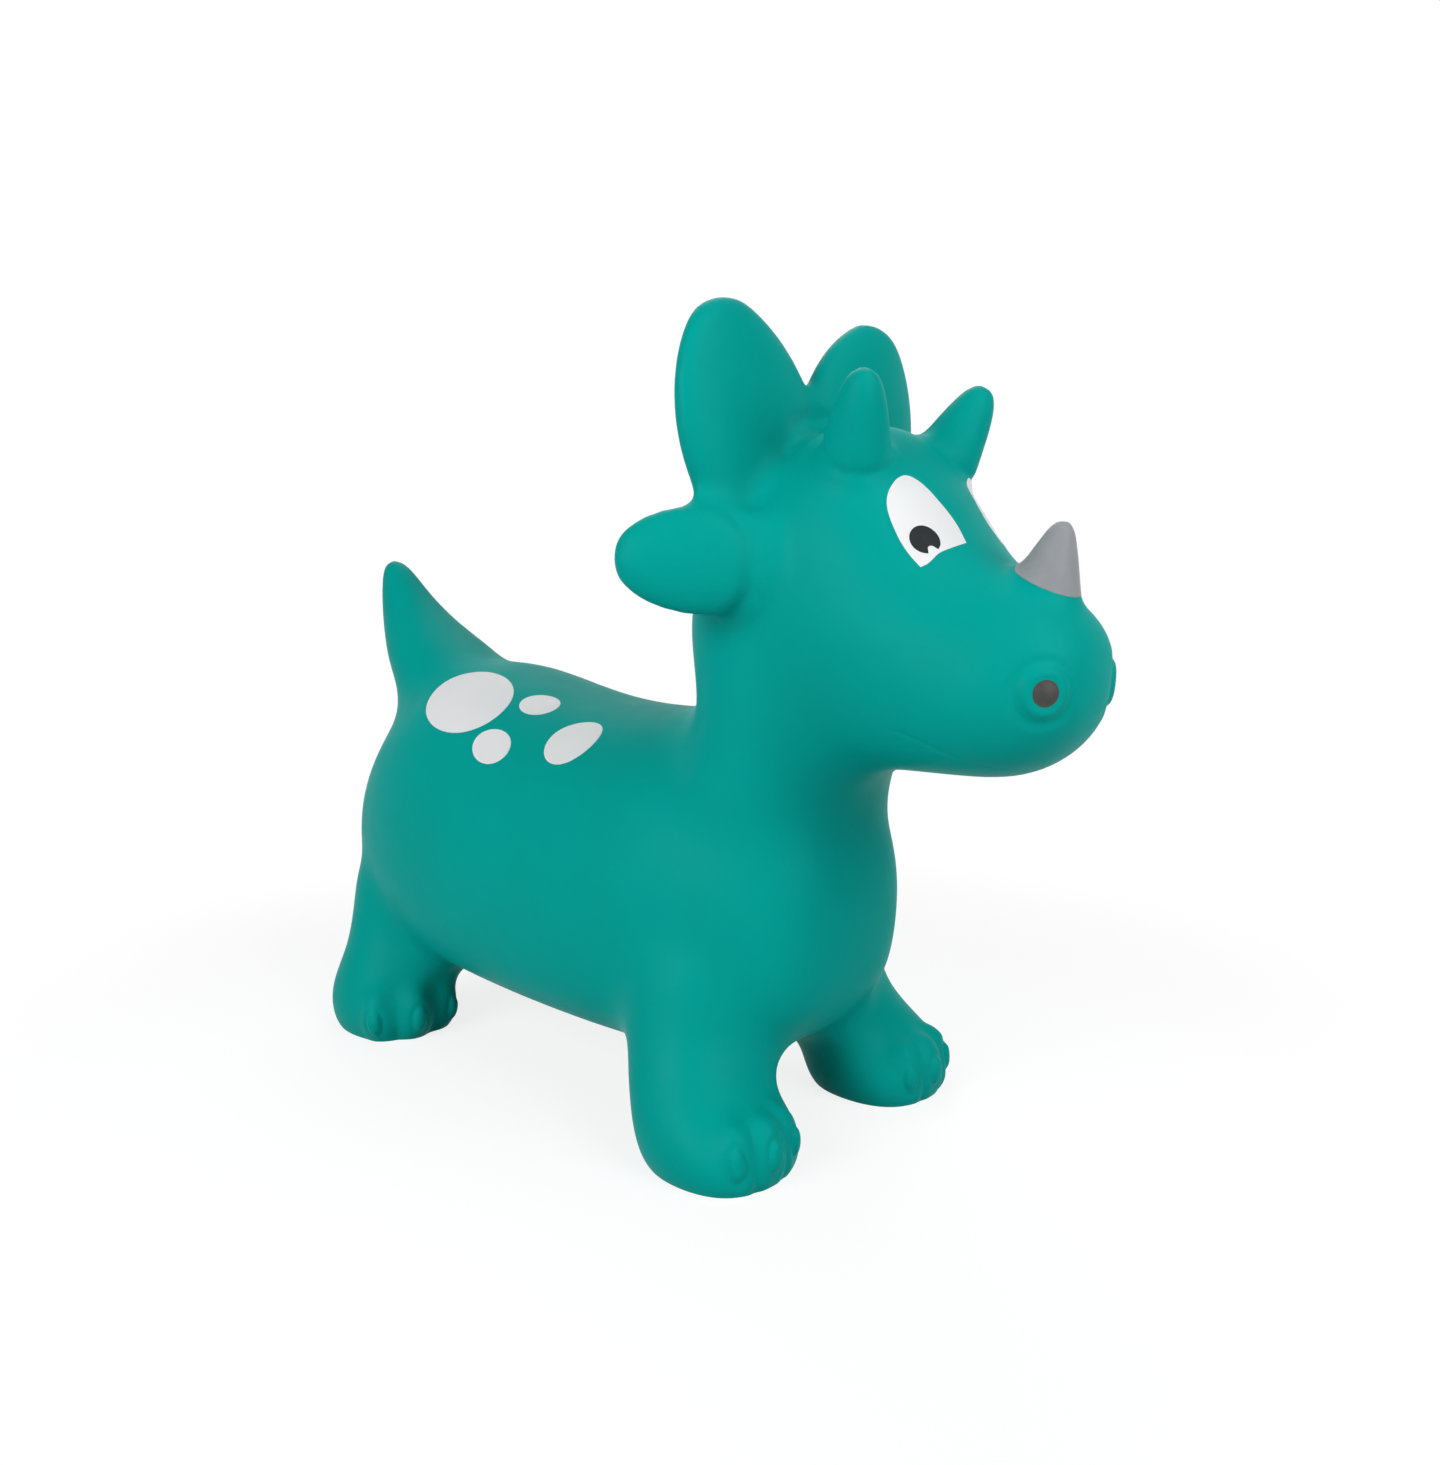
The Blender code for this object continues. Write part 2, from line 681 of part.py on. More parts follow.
def turned(name, profile, place, sides):
    """A turned body. The profile runs down the outer side, from the top to the bottom."""
    mesh = bpy.data.meshes.new(name)
    shape = bmesh.new()
    points = [shape.verts.new((radius, 0, height)) for radius, height in profile]
    for first, second in zip(points, points[1:]):
        shape.edges.new((first, second))
    shape.to_mesh(mesh)
    shape.free()
    body = new_object(name, mesh)
    body.location = place
    screw = body.modifiers.new("turn", "SCREW")
    screw.steps = sides
    screw.render_steps = sides
    screw.use_merge_vertices = True
    screw.merge_threshold = MERGE_DISTANCE
    bpy.context.view_layer.update()
    return body


def valve_place(surface):
    """Where the valve's axis leaves the belly."""
    below = trunk_point(0, VALVE_SHARE, 0)
    below.z = 0
    tree = BVHTree.FromObject(surface, bpy.context.evaluated_depsgraph_get())
    return tree.ray_cast(below, Vector((0, 0, 1)))[0]


def build_skin(outer, surface, frame):
    """The hollow skin: the outer surface less the air space, with the valve's boss and bore."""
    valve = valve_place(surface)
    hollow = cut_level(thinned("air_space", outer, HOLLOW_FACES, -SKIN_WALL), SKIN_WALL)
    boss_top = VALVE_BOSS_HEIGHT
    boss = turned("valve_boss", [(0, boss_top), (VALVE_BOSS_RADIUS, boss_top),
                                 (VALVE_BOSS_RADIUS, -OVERRUN), (0, -OVERRUN)], valve, PLUG_SIDES)
    boolean(hollow, cutter(boss), "DIFFERENCE")
    seat = PLUG_HEAD_THICKNESS + GAP
    bore = PLUG_STEM_RADIUS + PLUG_RIB_HEIGHT + GAP
    mouth = PLUG_HEAD_RADIUS + GAP
    valve_bore = turned("valve_bore", [(0, boss_top + OVERRUN), (bore, boss_top + OVERRUN), (bore, seat),
                                       (mouth, seat), (mouth, -OVERRUN), (0, -OVERRUN)], valve, PLUG_SIDES)
    skin = new_object("skin", surface.data.copy(), bpy.data.collections["bouncing_animal"])
    boolean(skin, cutter(hollow), "DIFFERENCE")
    boolean(skin, cutter(valve_bore), "DIFFERENCE")
    finish(skin, frame, "teal_skin", TEAL_SHARES, 0.45)
    return valve


def build_plug(valve, frame):
    """The air plug: a flat head under the belly and a ribbed stem up the bore."""
    profile = [(0, PLUG_STEM_LENGTH), (PLUG_STEM_RADIUS - PLUG_RIB_HEIGHT, PLUG_STEM_LENGTH)]
    pitch = (PLUG_STEM_LENGTH - PLUG_HEAD_THICKNESS) / (PLUG_RIBS + 1)
    for i in range(PLUG_RIBS, 0, -1):
        height = PLUG_HEAD_THICKNESS + i * pitch
        profile.append((PLUG_STEM_RADIUS, height + pitch / 4))
        profile.append((PLUG_STEM_RADIUS + PLUG_RIB_HEIGHT, height))
        profile.append((PLUG_STEM_RADIUS, height - pitch / 8))
    profile += [(PLUG_STEM_RADIUS, PLUG_HEAD_THICKNESS), (PLUG_HEAD_RADIUS, PLUG_HEAD_THICKNESS),
                (PLUG_HEAD_RADIUS, PLUG_HEAD_THICKNESS / 4),
                (PLUG_HEAD_RADIUS - PLUG_HEAD_THICKNESS / 4, 0), (0, 0)]
    plug = turned("air_plug", profile, valve, PLUG_SIDES)
    move_to(plug, "bouncing_animal")
    finish(plug, frame, "white_plug", PLUG_SHARES, 0.4)


def screen_to_light(share):
    """A colour value as light, from its share on a screen."""
    return share / 12.92 if share <= 0.04045 else ((share + 0.055) / 1.055) ** 2.4


def finish(item, frame, name, colour_shares, roughness):
    """Give an object its material and hang it on the animal's frame."""
    material = bpy.data.materials.get(name) or bpy.data.materials.new(name)
    material.use_nodes = True
    surface = material.node_tree.nodes["Principled BSDF"]
    surface.inputs["Base Color"].default_value = (*map(screen_to_light, colour_shares), 1)
    surface.inputs["Roughness"].default_value = roughness
    surface.inputs["Metallic"].default_value = 0
    item.data.materials.clear()
    item.data.materials.append(material)
    item.parent = frame


def prism(name, outline, frame, reach):
    """A straight body through an outline that lies in a frame's XY plane."""
    mesh = bpy.data.meshes.new(name)
    shape = bmesh.new()
    face = shape.faces.new([shape.verts.new((x, y, -reach)) for x, y in outline])
    sides = bmesh.ops.extrude_face_region(shape, geom=[face])["geom"]
    top = [part for part in sides if isinstance(part, bmesh.types.BMVert)]
    bmesh.ops.translate(shape, vec=(0, 0, 2 * reach), verts=top)
    bmesh.ops.recalc_face_normals(shape, faces=shape.faces)
    shape.to_mesh(mesh)
    shape.free()
    body = new_object(name, mesh)
    body.matrix_world = frame
    bpy.context.view_layer.update()
    return cutter(body)


def circle(radius, middle=(0, 0)):
    turns = [2 * math.pi * i / COAT_POINTS for i in range(COAT_POINTS)]
    return [(middle[0] + radius * math.cos(turn), middle[1] + radius * math.sin(turn)) for turn in turns]


def oval(length, width, tilt, point_share):
    """An oval outline. The point share draws one end in to make an egg."""
    outline = []
    for i in range(COAT_POINTS):
        turn = 2 * math.pi * i / COAT_POINTS
        x = length / 2 * math.cos(turn)
        y = width / 2 * math.sin(turn) * (1 - point_share * math.cos(turn))
        outline.append((x * math.cos(tilt) - y * math.sin(tilt), x * math.sin(tilt) + y * math.cos(tilt)))
    return outline


def coat_patch(name, surface, keep):
    """A thin layer over the faces of the surface that a test keeps."""
    shape = bmesh.new()
    shape.from_mesh(surface.data)
    spare = [face for face in shape.faces if not keep(face)]
    bmesh.ops.delete(shape, geom=spare, context="FACES")
    mesh = bpy.data.meshes.new(name)
    shape.to_mesh(mesh)
    shape.free()
    patch = new_object(name, mesh, bpy.data.collections["bouncing_animal"])
    displace(patch, GAP)
    layer = patch.modifiers.new("layer", "SOLIDIFY")
    layer.thickness = COAT_THICKNESS
    layer.offset = 1
    return patch


def coat(name, surface, frame, outline, hole=None):
    """A coat of paint: a thin layer on the surface inside an outline, less a hole."""
    centre, out = frame.to_translation(), frame.to_3x3().col[2]
    reach = COAT_REACH_SHARE * max(math.hypot(x, y) for x, y in outline) + OVERRUN
    patch = coat_patch(name, surface, lambda face: (face.calc_center_median() - centre).length < reach
                       and face.normal.dot(out) > 0)
    boolean(patch, prism(name + "_outline", outline, frame, reach), "INTERSECT")
    if hole:
        boolean(patch, prism(name + "_hole", hole, frame, reach), "DIFFERENCE")
    return patch


def build_spots(surface, frame, side, word):
    """The spots on one side of the back."""
    right_angle = math.pi / 2
    for number, (place, angles, sizes, point_share) in enumerate(SPOT_SHARES, 1):
        turn, lift, tilt = (share * right_angle for share in angles)
        across, along, up = place
        spot = facing_frame(trunk_point(side * across, along, up), facing(side, turn, lift))
        length, width = (share * SPOT_LENGTH for share in sizes)
        outline = oval(length, width, tilt if side == RIGHT else math.pi - tilt, point_share)
        item = coat(f"back_spot_{word}_{number}", surface, spot, outline)
        finish(item, frame, "white_paint", WHITE_SHARES, 0.4)


def build_eye(surface, frame, side, word):
    """The white and the pupil of one eye. Their shares run towards the nose."""
    across, along, up = EYE_PLACE_SHARES
    eye = facing_frame(head_point(side * across, along, up), facing(side, EYE_TURN, EYE_LIFT))
    width, height = -side * EYE_WIDTH, EYE_HEIGHT
    outline = [(x * width, y * height) for x, y in EYE_OUTLINE_SHARES]
    middle = (PUPIL_PLACE_SHARES[0] * width, PUPIL_PLACE_SHARES[1] * height)
    glint = (middle[0] - side * GLINT_PLACE_SHARES[0] * PUPIL_RADIUS,
             middle[1] + GLINT_PLACE_SHARES[1] * PUPIL_RADIUS)
    white = coat(f"eye_white_{word}", surface, eye, outline, circle(PUPIL_RADIUS + GAP, middle))
    finish(white, frame, "white_paint", WHITE_SHARES, 0.4)
    pupil = coat(f"pupil_{word}", surface, eye, circle(PUPIL_RADIUS, middle),
                 circle(GLINT_RADIUS_SHARE * PUPIL_RADIUS, glint))
    finish(pupil, frame, "black_paint", BLACK_SHARES, 0.35)


def build_nostril_coat(surface, frame, side, word):
    """Dark paint on one nostril's dome."""
    outline = circle(NOSTRIL_COAT_SHARE * NOSTRIL_DOME_RADIUS)
    item = coat(f"nostril_{word}", surface, nostril_frame(surface, side), outline)
    finish(item, frame, "dark_paint", NOSTRIL_SHARES, 0.4)


def build_nose_coat(surface, frame):
    """Grey paint on the nose horn above its edge."""
    base, axis = nose_horn_line()
    dip = Matrix.Rotation(NOSE_COAT_DIP, 3, "X")
    edge = facing_frame(base + NOSE_COAT_SHARE * axis, dip @ axis)
    height = axis.length
    item = coat_patch("nose_horn", surface,
                      lambda face: (face.calc_center_median() - base - axis).length < height + OVERRUN)
    outline = prism("nose_horn_outline", circle(NOSE_COAT_RADIUS_SHARE * NOSE_HORN_RADIUS),
                    edge @ Matrix.Translation((0, 0, height)), height)
    boolean(item, outline, "INTERSECT")
    finish(item, frame, "grey_paint", GREY_SHARES, 0.45)


def clear_scene():
    for item in list(bpy.data.objects):
        bpy.data.objects.remove(item)
    for name in ("bouncing_animal", "cutters"):
        collection = bpy.data.collections.new(name)
        bpy.context.scene.collection.children.link(collection)


def main():
    clear_scene()
    frame = bpy.data.objects.new("animal_frame", None)
    bpy.data.collections["bouncing_animal"].objects.link(frame)
    outer = outer_form()
    surface = cut_level(thinned("outer_surface", outer, SKIN_FACES), 0)
    valve = build_skin(outer, surface, frame)
    build_plug(valve, frame)
    for side, word in ((RIGHT, "right"), (LEFT, "left")):
        build_spots(surface, frame, side, word)
        build_eye(surface, frame, side, word)
        build_nostril_coat(surface, frame, side, word)
    build_nose_coat(surface, frame)
    for item in (outer, surface):
        bpy.data.objects.remove(item)


if __name__ == "__main__":
    main()
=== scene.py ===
"""The looks of a bouncing animal to ride on: a young horned dinosaur in soft teal PVC.

Metres, +Z up. The animal faces -Y and stands on Z = 0. Its right side is at -X.
"""

import logging
import math
from collections.abc import Callable, Iterable, Iterator
from contextlib import contextmanager
from dataclasses import dataclass
from enum import Enum

import bmesh
import bpy
import numpy as np
from mathutils import Matrix, Vector


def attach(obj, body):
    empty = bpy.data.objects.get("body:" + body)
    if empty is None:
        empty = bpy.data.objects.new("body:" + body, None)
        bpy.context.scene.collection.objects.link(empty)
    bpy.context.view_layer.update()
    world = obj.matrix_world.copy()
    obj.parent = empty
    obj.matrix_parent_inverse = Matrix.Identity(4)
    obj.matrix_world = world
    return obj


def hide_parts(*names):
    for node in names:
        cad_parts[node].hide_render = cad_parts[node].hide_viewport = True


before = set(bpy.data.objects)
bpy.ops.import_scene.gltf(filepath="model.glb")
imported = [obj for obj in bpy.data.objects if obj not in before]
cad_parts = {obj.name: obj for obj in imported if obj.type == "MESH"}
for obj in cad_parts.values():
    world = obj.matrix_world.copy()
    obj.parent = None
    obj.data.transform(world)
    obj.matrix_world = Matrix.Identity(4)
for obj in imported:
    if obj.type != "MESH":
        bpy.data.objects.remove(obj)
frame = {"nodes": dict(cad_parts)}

LOG = logging.getLogger("bouncing_animal")
MERGE_DISTANCE = 0.00005
CUT_TOLERANCE = 0.000001
SMOOTH_ANGLE = math.radians(50)
UP = Vector((0, 0, 1))

Row = tuple[float, ...]
Table = tuple[Row, ...]
Mesh = bpy.types.Object
Socket = bpy.types.NodeSocket


class Side(Enum):
    """The two sides of the animal. The value is the sign of X."""

    RIGHT = -1
    LEFT = 1

    @property
    def word(self) -> str:
        """The side's name as the CAD nodes have it."""
        return self.name.lower()


class Fusion(Enum):
    """The stages in which forms grow together: the voxel's size and the fillet's radius."""

    REAR = (0.0040, 0.045)
    TORSO = (0.0040, 0.026)
    SHOULDERS = (0.0040, 0.014)
    HIPS = (0.0040, 0.017)
    CREST = (0.0030, 0.006)


# Helpers for modelling with operators


def deselect_all() -> None:
    """Leave no object selected."""
    if bpy.context.object and bpy.context.object.mode != "OBJECT":
        bpy.ops.object.mode_set(mode="OBJECT")
    bpy.ops.object.select_all(action="DESELECT")


def make_active(item: Mesh) -> None:
    """Select one object alone.

    Args:
        item: The object to work on.
    """
    deselect_all()
    item.select_set(True)
    bpy.context.view_layer.objects.active = item


@contextmanager
def edit_mode(item: Mesh) -> Iterator[None]:
    """Work on one object's vertices, which are all selected at first.

    Args:
        item: The object to edit.

    Yields:
        Nothing.
    """
    make_active(item)
    bpy.ops.object.mode_set(mode="EDIT")
    bpy.ops.mesh.select_mode(type="VERT")
    bpy.ops.mesh.select_all(action="SELECT")
    yield
    bpy.ops.object.mode_set(mode="OBJECT")


def select_only(item: Mesh, shape: bmesh.types.BMesh, wanted: Iterable[bmesh.types.BMVert]) -> None:
    """Select some vertices of an object in edit mode, and no others.

    Args:
        item: The object.
        shape: Its mesh, as it is being edited.
        wanted: The vertices.
    """
    bpy.ops.mesh.select_all(action="DESELECT")
    for vertex in wanted:
        vertex.select_set(True)
    shape.select_flush_mode()
    bmesh.update_edit_mesh(item.data)


def select_places(item: Mesh, wanted: Callable[[Vector], bool]) -> None:
    """Select the vertices of an object in edit mode by their place.

    Args:
        item: The object.
        wanted: Tells from a place whether its vertex is wanted.
    """
    shape = bmesh.from_edit_mesh(item.data)
    select_only(item, shape, [vertex for vertex in shape.verts if wanted(vertex.co)])


def clean(item: Mesh) -> Mesh:
    """Merge an object's doubles and turn its faces outwards.

    Args:
        item: The object.

    Returns:
        The same object.
    """
    with edit_mode(item):
        bpy.ops.mesh.remove_doubles(threshold=MERGE_DISTANCE)
        bpy.ops.mesh.normals_make_consistent(inside=False)
    return item


def settle(item: Mesh, placement: Matrix) -> Mesh:
    """Put an object in place and move that place into its mesh.

    Args:
        item: The object.
        placement: Where it goes.

    Returns:
        The same object, at the origin.
    """
    make_active(item)
    item.matrix_world = placement
    bpy.context.view_layer.update()
    bpy.ops.object.transform_apply(location=True, rotation=True, scale=True)
    return item


def add_step(item: Mesh, kind: str, **settings: object) -> None:
    """Add a modifier to an object.

    Args:
        item: The object.
        kind: The modifier's type.
        **settings: What it is set to.
    """
    step = item.modifiers.new(kind.lower(), kind)
    for name, value in settings.items():
        setattr(step, name, value)


def add_subdivision(item: Mesh, levels: int) -> None:
    """Add a subdivision surface that renders as it shows."""
    add_step(item, "SUBSURF", levels=levels, render_levels=levels)


def add_remesh(item: Mesh, grid: float) -> None:
    """Add a voxel remesh."""
    add_step(item, "REMESH", mode="VOXEL", voxel_size=grid)


def add_offset(item: Mesh, distance: float, group: str = "") -> None:
    """Add a displacement along the normals, in a vertex group where one is named."""
    add_step(item, "DISPLACE", mid_level=0, strength=distance, vertex_group=group)


def add_smoothing(item: Mesh, turns: int) -> None:
    """Add a smoothing of the mesh."""
    add_step(item, "SMOOTH", factor=0.5, iterations=turns)


def add_mirror(item: Mesh) -> None:
    """Add the same form on the other side of the animal."""
    add_step(item, "MIRROR", use_mirror_merge=False)


def apply_modifiers(item: Mesh) -> Mesh:
    """Apply an object's modifiers, from the first to the last.

    Args:
        item: The object.

    Returns:
        The same object.
    """
    make_active(item)
    for modifier in list(item.modifiers):
        bpy.ops.object.modifier_apply(modifier=modifier.name)
    return item


def fuse(name: str, forms: Iterable[Mesh], stage: Fusion) -> Mesh:
    """Join forms, grow them together and fill the hollows between them.

    Args:
        name: The body's name.
        forms: The forms, which overlap.
        stage: The voxel size and fillet.

    Returns:
        The one closed body.
    """
    body, *others = forms
    make_active(body)
    for form in others:
        form.select_set(True)
    bpy.ops.object.join()
    body.name = name
    grid, fillet = stage.value
    add_remesh(body, grid)
    for distance in (fillet, -fillet):
        add_offset(body, distance)
        add_remesh(body, grid)
        add_smoothing(body, 2)
    return apply_modifiers(body)


def facing(side: Side, turn: float, lift: float) -> Vector:
    """A direction turned outward from straight ahead on one side, and lifted above level.

    Args:
        side: The side of the animal.
        turn: Outward from straight ahead, in degrees.
        lift: Above level, in degrees.

    Returns:
        The direction, at length one.
    """
    turn, lift = math.radians(turn), math.radians(lift)
    level = math.cos(lift)
    return Vector((side.value * level * math.sin(turn), -level * math.cos(turn), math.sin(lift)))


def axes(across: Vector, along: Vector, out: Vector, place: Vector) -> Matrix:
    """A frame from its three directions and its place."""
    turn = Matrix((across.normalized(), along.normalized(), out.normalized())).transposed()
    return Matrix.Translation(place) @ turn.to_4x4()


def facing_frame(place: Vector, out: Vector) -> Matrix:
    """A frame at a place whose Z points out and whose X is level."""
    level = UP.cross(out).normalized()
    return axes(level, out.cross(level), out, place)


def surface_hit(body: Mesh, origin: Vector, way: Vector) -> Vector:
    """Where a line first meets a body.

    Args:
        body: The body, at the origin.
        origin: Where the line starts.
        way: Where it goes.

    Returns:
        The place on the body.
    """
    bpy.context.view_layer.update()
    met, place, _, _ = body.ray_cast(origin, way)
    if not met:
        raise ValueError(f"a line misses {body.name}")
    return place


# Cages: coarse rings that a subdivision surface rounds


RING_POINTS = 12
RING_SWELL = 3 / (2 + math.cos(2 * math.pi / RING_POINTS))
RING_ROWS = tuple(math.sin(math.radians(angle)) for angle in (60, 30, -30, -60))
LENGTHWISE = Matrix.Rotation(math.pi / 2, 4, "X")


@dataclass(frozen=True)
class Section:
    """One ring of a cage, in the cage's own frame, whose Z runs along the form."""

    along: float
    half_width: float
    half_depth: float
    shift: tuple[float, float] = (0.0, 0.0)
    low_square: float = 0.0
    high_square: float = 0.0
    narrowing: float = 0.0

    @property
    def hub(self) -> Vector:
        """The ring's middle."""
        return Vector((*self.shift, self.along))

    @property
    def manner(self) -> Row:
        """What makes the ring other than an ellipse."""
        return (self.low_square, self.high_square, self.narrowing)

    def bend(self, sine: float) -> tuple[float, float]:
        """How a row of the ring departs from the circle.

        Args:
            sine: The row's height on the circle.

        Returns:
            The row's width and height as shares of the circle's.
        """
        power = 1 - (self.high_square if sine > 0 else self.low_square)
        cosine = math.sqrt(1 - sine * sine)
        return cosine ** (power - 1) * (1 - self.narrowing * sine), abs(sine) ** (power - 1)


ROUND = Section(0.0, 1.0, 1.0)


@dataclass(frozen=True)
class Cage:
    """A closed form that is extruded ring by ring and then rounded."""

    name: str
    sections: tuple[Section, ...]
    placement: Matrix = Matrix().freeze()

    def model(self, mirrored: bool = False) -> Mesh:
        """Model the cage, from a disc.

        Args:
            mirrored: Whether the other side gets the form too.

        Returns:
            The rounded form in its place.
        """
        deselect_all()
        bpy.ops.mesh.primitive_circle_add(vertices=RING_POINTS, radius=1, fill_type="NGON")
        form = bpy.context.object
        form.name = self.name
        with edit_mode(form):
            previous = ROUND
            for section in self.sections:
                if previous is not ROUND:
                    bpy.ops.mesh.extrude_region_move()
                self.shape_ring(form, previous, section)
                previous = section
        settle(clean(form), self.placement)
        add_subdivision(form, 2)
        if mirrored:
            add_mirror(form)
        return apply_modifiers(form)

    @staticmethod
    def shape_ring(form: Mesh, old: Section, new: Section) -> None:
        """Bring the selected ring from one section to the next.

        Args:
            form: The object in edit mode.
            old: The section that the ring has.
            new: The section that it gets.
        """
        swell = RING_SWELL if old is ROUND else 1
        size = (swell * new.half_width / old.half_width, swell * new.half_depth / old.half_depth, 1)
        bpy.ops.transform.resize(value=size, center_override=old.hub)
        bpy.ops.transform.translate(value=new.hub - old.hub)
        if old.manner == new.manner:
            return
        shape = bmesh.from_edit_mesh(form.data)
        ring = sorted((v for v in shape.verts if v.select), key=lambda v: -v.co.y)
        # From the top down: the top point, the middle pair and the bottom point stay.
        pairs = (ring[1:3], ring[3:5], ring[7:9], ring[9:11])
        height = RING_SWELL * new.half_depth
        for sine, pair in zip(RING_ROWS, pairs):
            select_only(form, shape, pair)
            was, now = old.bend(sine), new.bend(sine)
            bpy.ops.transform.resize(value=(now[0] / was[0], 1, 1), center_override=new.hub)
            bpy.ops.transform.translate(value=(0, (now[1] - was[1]) * sine * height, 0))
        select_only(form, shape, ring)


def model_lengthwise(name: str, point: Callable[[float, float, float], Vector], size: Row, rings: Table,
                     squareness: Row) -> Mesh:
    """Model a form whose rings stand upright along the body.

    Args:
        name: The form's name.
        point: Places shares of the form's half width, length and height.
        size: The form's width and height.
        rings: Rows of along, width, low, high and narrowing, as shares.
        squareness: How square the low half and the high half are.

    Returns:
        The form.
    """
    width, height = size
    sections = []
    for along, wide, bottom, top, narrowing in rings:
        hub = point(0, along, (bottom + top) / 2)
        sections.append(Section(-hub.y, wide * width / 2, (top - bottom) / 2 * height, (0, hub.z),
                                *squareness, narrowing))
    return Cage(name, tuple(sections), LENGTHWISE).model()


@dataclass(frozen=True)
class Trunk:
    """The barrel from the chest to the rump."""

    length: float = 0.446
    width: float = 0.210
    height: float = 0.208
    clearance: float = 0.045
    chest_y: float = -0.1704
    squareness: Row = (0.36, 0.02)
    rings: Table = (
        (0.00, 0.44, 0.22, 0.69, -0.06),
        (0.06, 0.71, 0.07, 0.90, -0.05),
        (0.18, 0.90, -0.028, 1.04, 0.01),
        (0.36, 1.00, -0.022, 0.990, 0.05),
        (0.56, 1.02, -0.008, 1.02, 0.06),
        (0.74, 1.02, 0.02, 1.125, 0.08),
        (0.88, 0.89, 0.07, 1.04, 0.05),
        (0.965, 0.66, 0.17, 0.74, 0.00),
        (1.00, 0.44, 0.25, 0.56, 0.00),
    )

    def point(self, across: float, along: float, up: float) -> Vector:
        """A place from shares of the trunk's half width, length and height."""
        return Vector((across * self.width / 2, self.chest_y + along * self.length,
                       self.clearance + up * self.height))

    def model(self) -> Mesh:
        """Model the trunk."""
        return model_lengthwise("trunk", self.point, (self.width, self.height), self.rings, self.squareness)


@dataclass(frozen=True)
class Neck:
    """The neck, upright from the shoulders to the crown and leaning forward."""

    trunk: Trunk
    width: float = 0.150
    depth: float = 0.140
    height: float = 0.270
    lean: float = 0.080
    foot_shares: tuple[float, float] = (0.184, 0.433)
    rings: Table = (
        (0.00, 1.02, 0.90, 0.02),
        (0.28, 1.07, 0.85, 0.235),
        (0.46, 1.02, 0.687, 0.5175),
        (0.64, 1.05, 1.03, 0.498),
        (0.82, 1.05, 1.063, 0.70),
        (1.00, 0.80, 0.72, 0.92),
    )

    @property
    def foot(self) -> Vector:
        """Where the neck starts, inside the trunk."""
        return self.trunk.point(0, *self.foot_shares)

    def model(self) -> Mesh:
        """Model the neck."""
        foot = self.foot
        sections = tuple(Section(foot.z + up * self.height, wide * self.width / 2, deep * self.depth / 2,
                                 (0, foot.y - lean * self.lean)) for up, wide, deep, lean in self.rings)
        return Cage("neck", sections).model()


@dataclass(frozen=True)
class Head:
    """The head from the nape to the tip of the snout."""

    neck: Neck
    length: float = 0.226
    width: float = 0.150
    height: float = 0.182
    squareness: Row = (0.12, 0.12)
    nape_share: float = 0.025
    jaw_share: float = 0.393
    rings: Table = (
        (0.00, 0.56, 0.38, 0.78, 0.00),
        (0.12, 0.92, 0.12, 0.94, 0.00),
        (0.30, 1.04, -0.040, 1.03, -0.02),
        (0.46, 1.00, -0.040, 1.035, 0.02),
        (0.60, 0.89, -0.032, 0.800, 0.12),
        (0.72, 0.83, -0.026, 0.590, 0.13),
        (0.84, 0.77, -0.018, 0.555, 0.06),
        (0.94, 0.55, 0.072, 0.490, 0.00),
        (1.00, 0.32, 0.19, 0.39, 0.00),
    )

    def point(self, across: float, along: float, up: float) -> Vector:
        """A place from shares of the head's half width, length and height."""
        foot = self.neck.foot
        return Vector((across * self.width / 2,
                       foot.y - self.nape_share * self.neck.lean - along * self.length,
                       foot.z + self.jaw_share * self.neck.height + up * self.height))

    def model(self) -> Mesh:
        """Model the head."""
        return model_lengthwise("head", self.point, (self.width, self.height), self.rings, self.squareness)


FOOT_RINGS: Table = (
    (-0.08, 0.74, 0.00, -0.09, 1.00),
    (0.00, 0.90, 0.00, -0.09, 1.00),
    (0.09, 0.98, 0.00, -0.07, 1.00),
    (0.19, 0.98, 0.00, 0.04, 0.80),
)
LEG_TOP: Row = (1.00, 0.90, 1.20, 1.00, 0.00)
REAR_LEG_RINGS: Table = (
    *FOOT_RINGS,
    (0.31, 0.88, 0.06, 0.40, 0.40),
    (0.43, 0.78, 0.24, 0.70, 0.10),
    (0.58, 0.82, 0.58, 0.90, 0.00),
    (0.78, 0.93, 0.98, 1.00, 0.00),
    LEG_TOP,
)


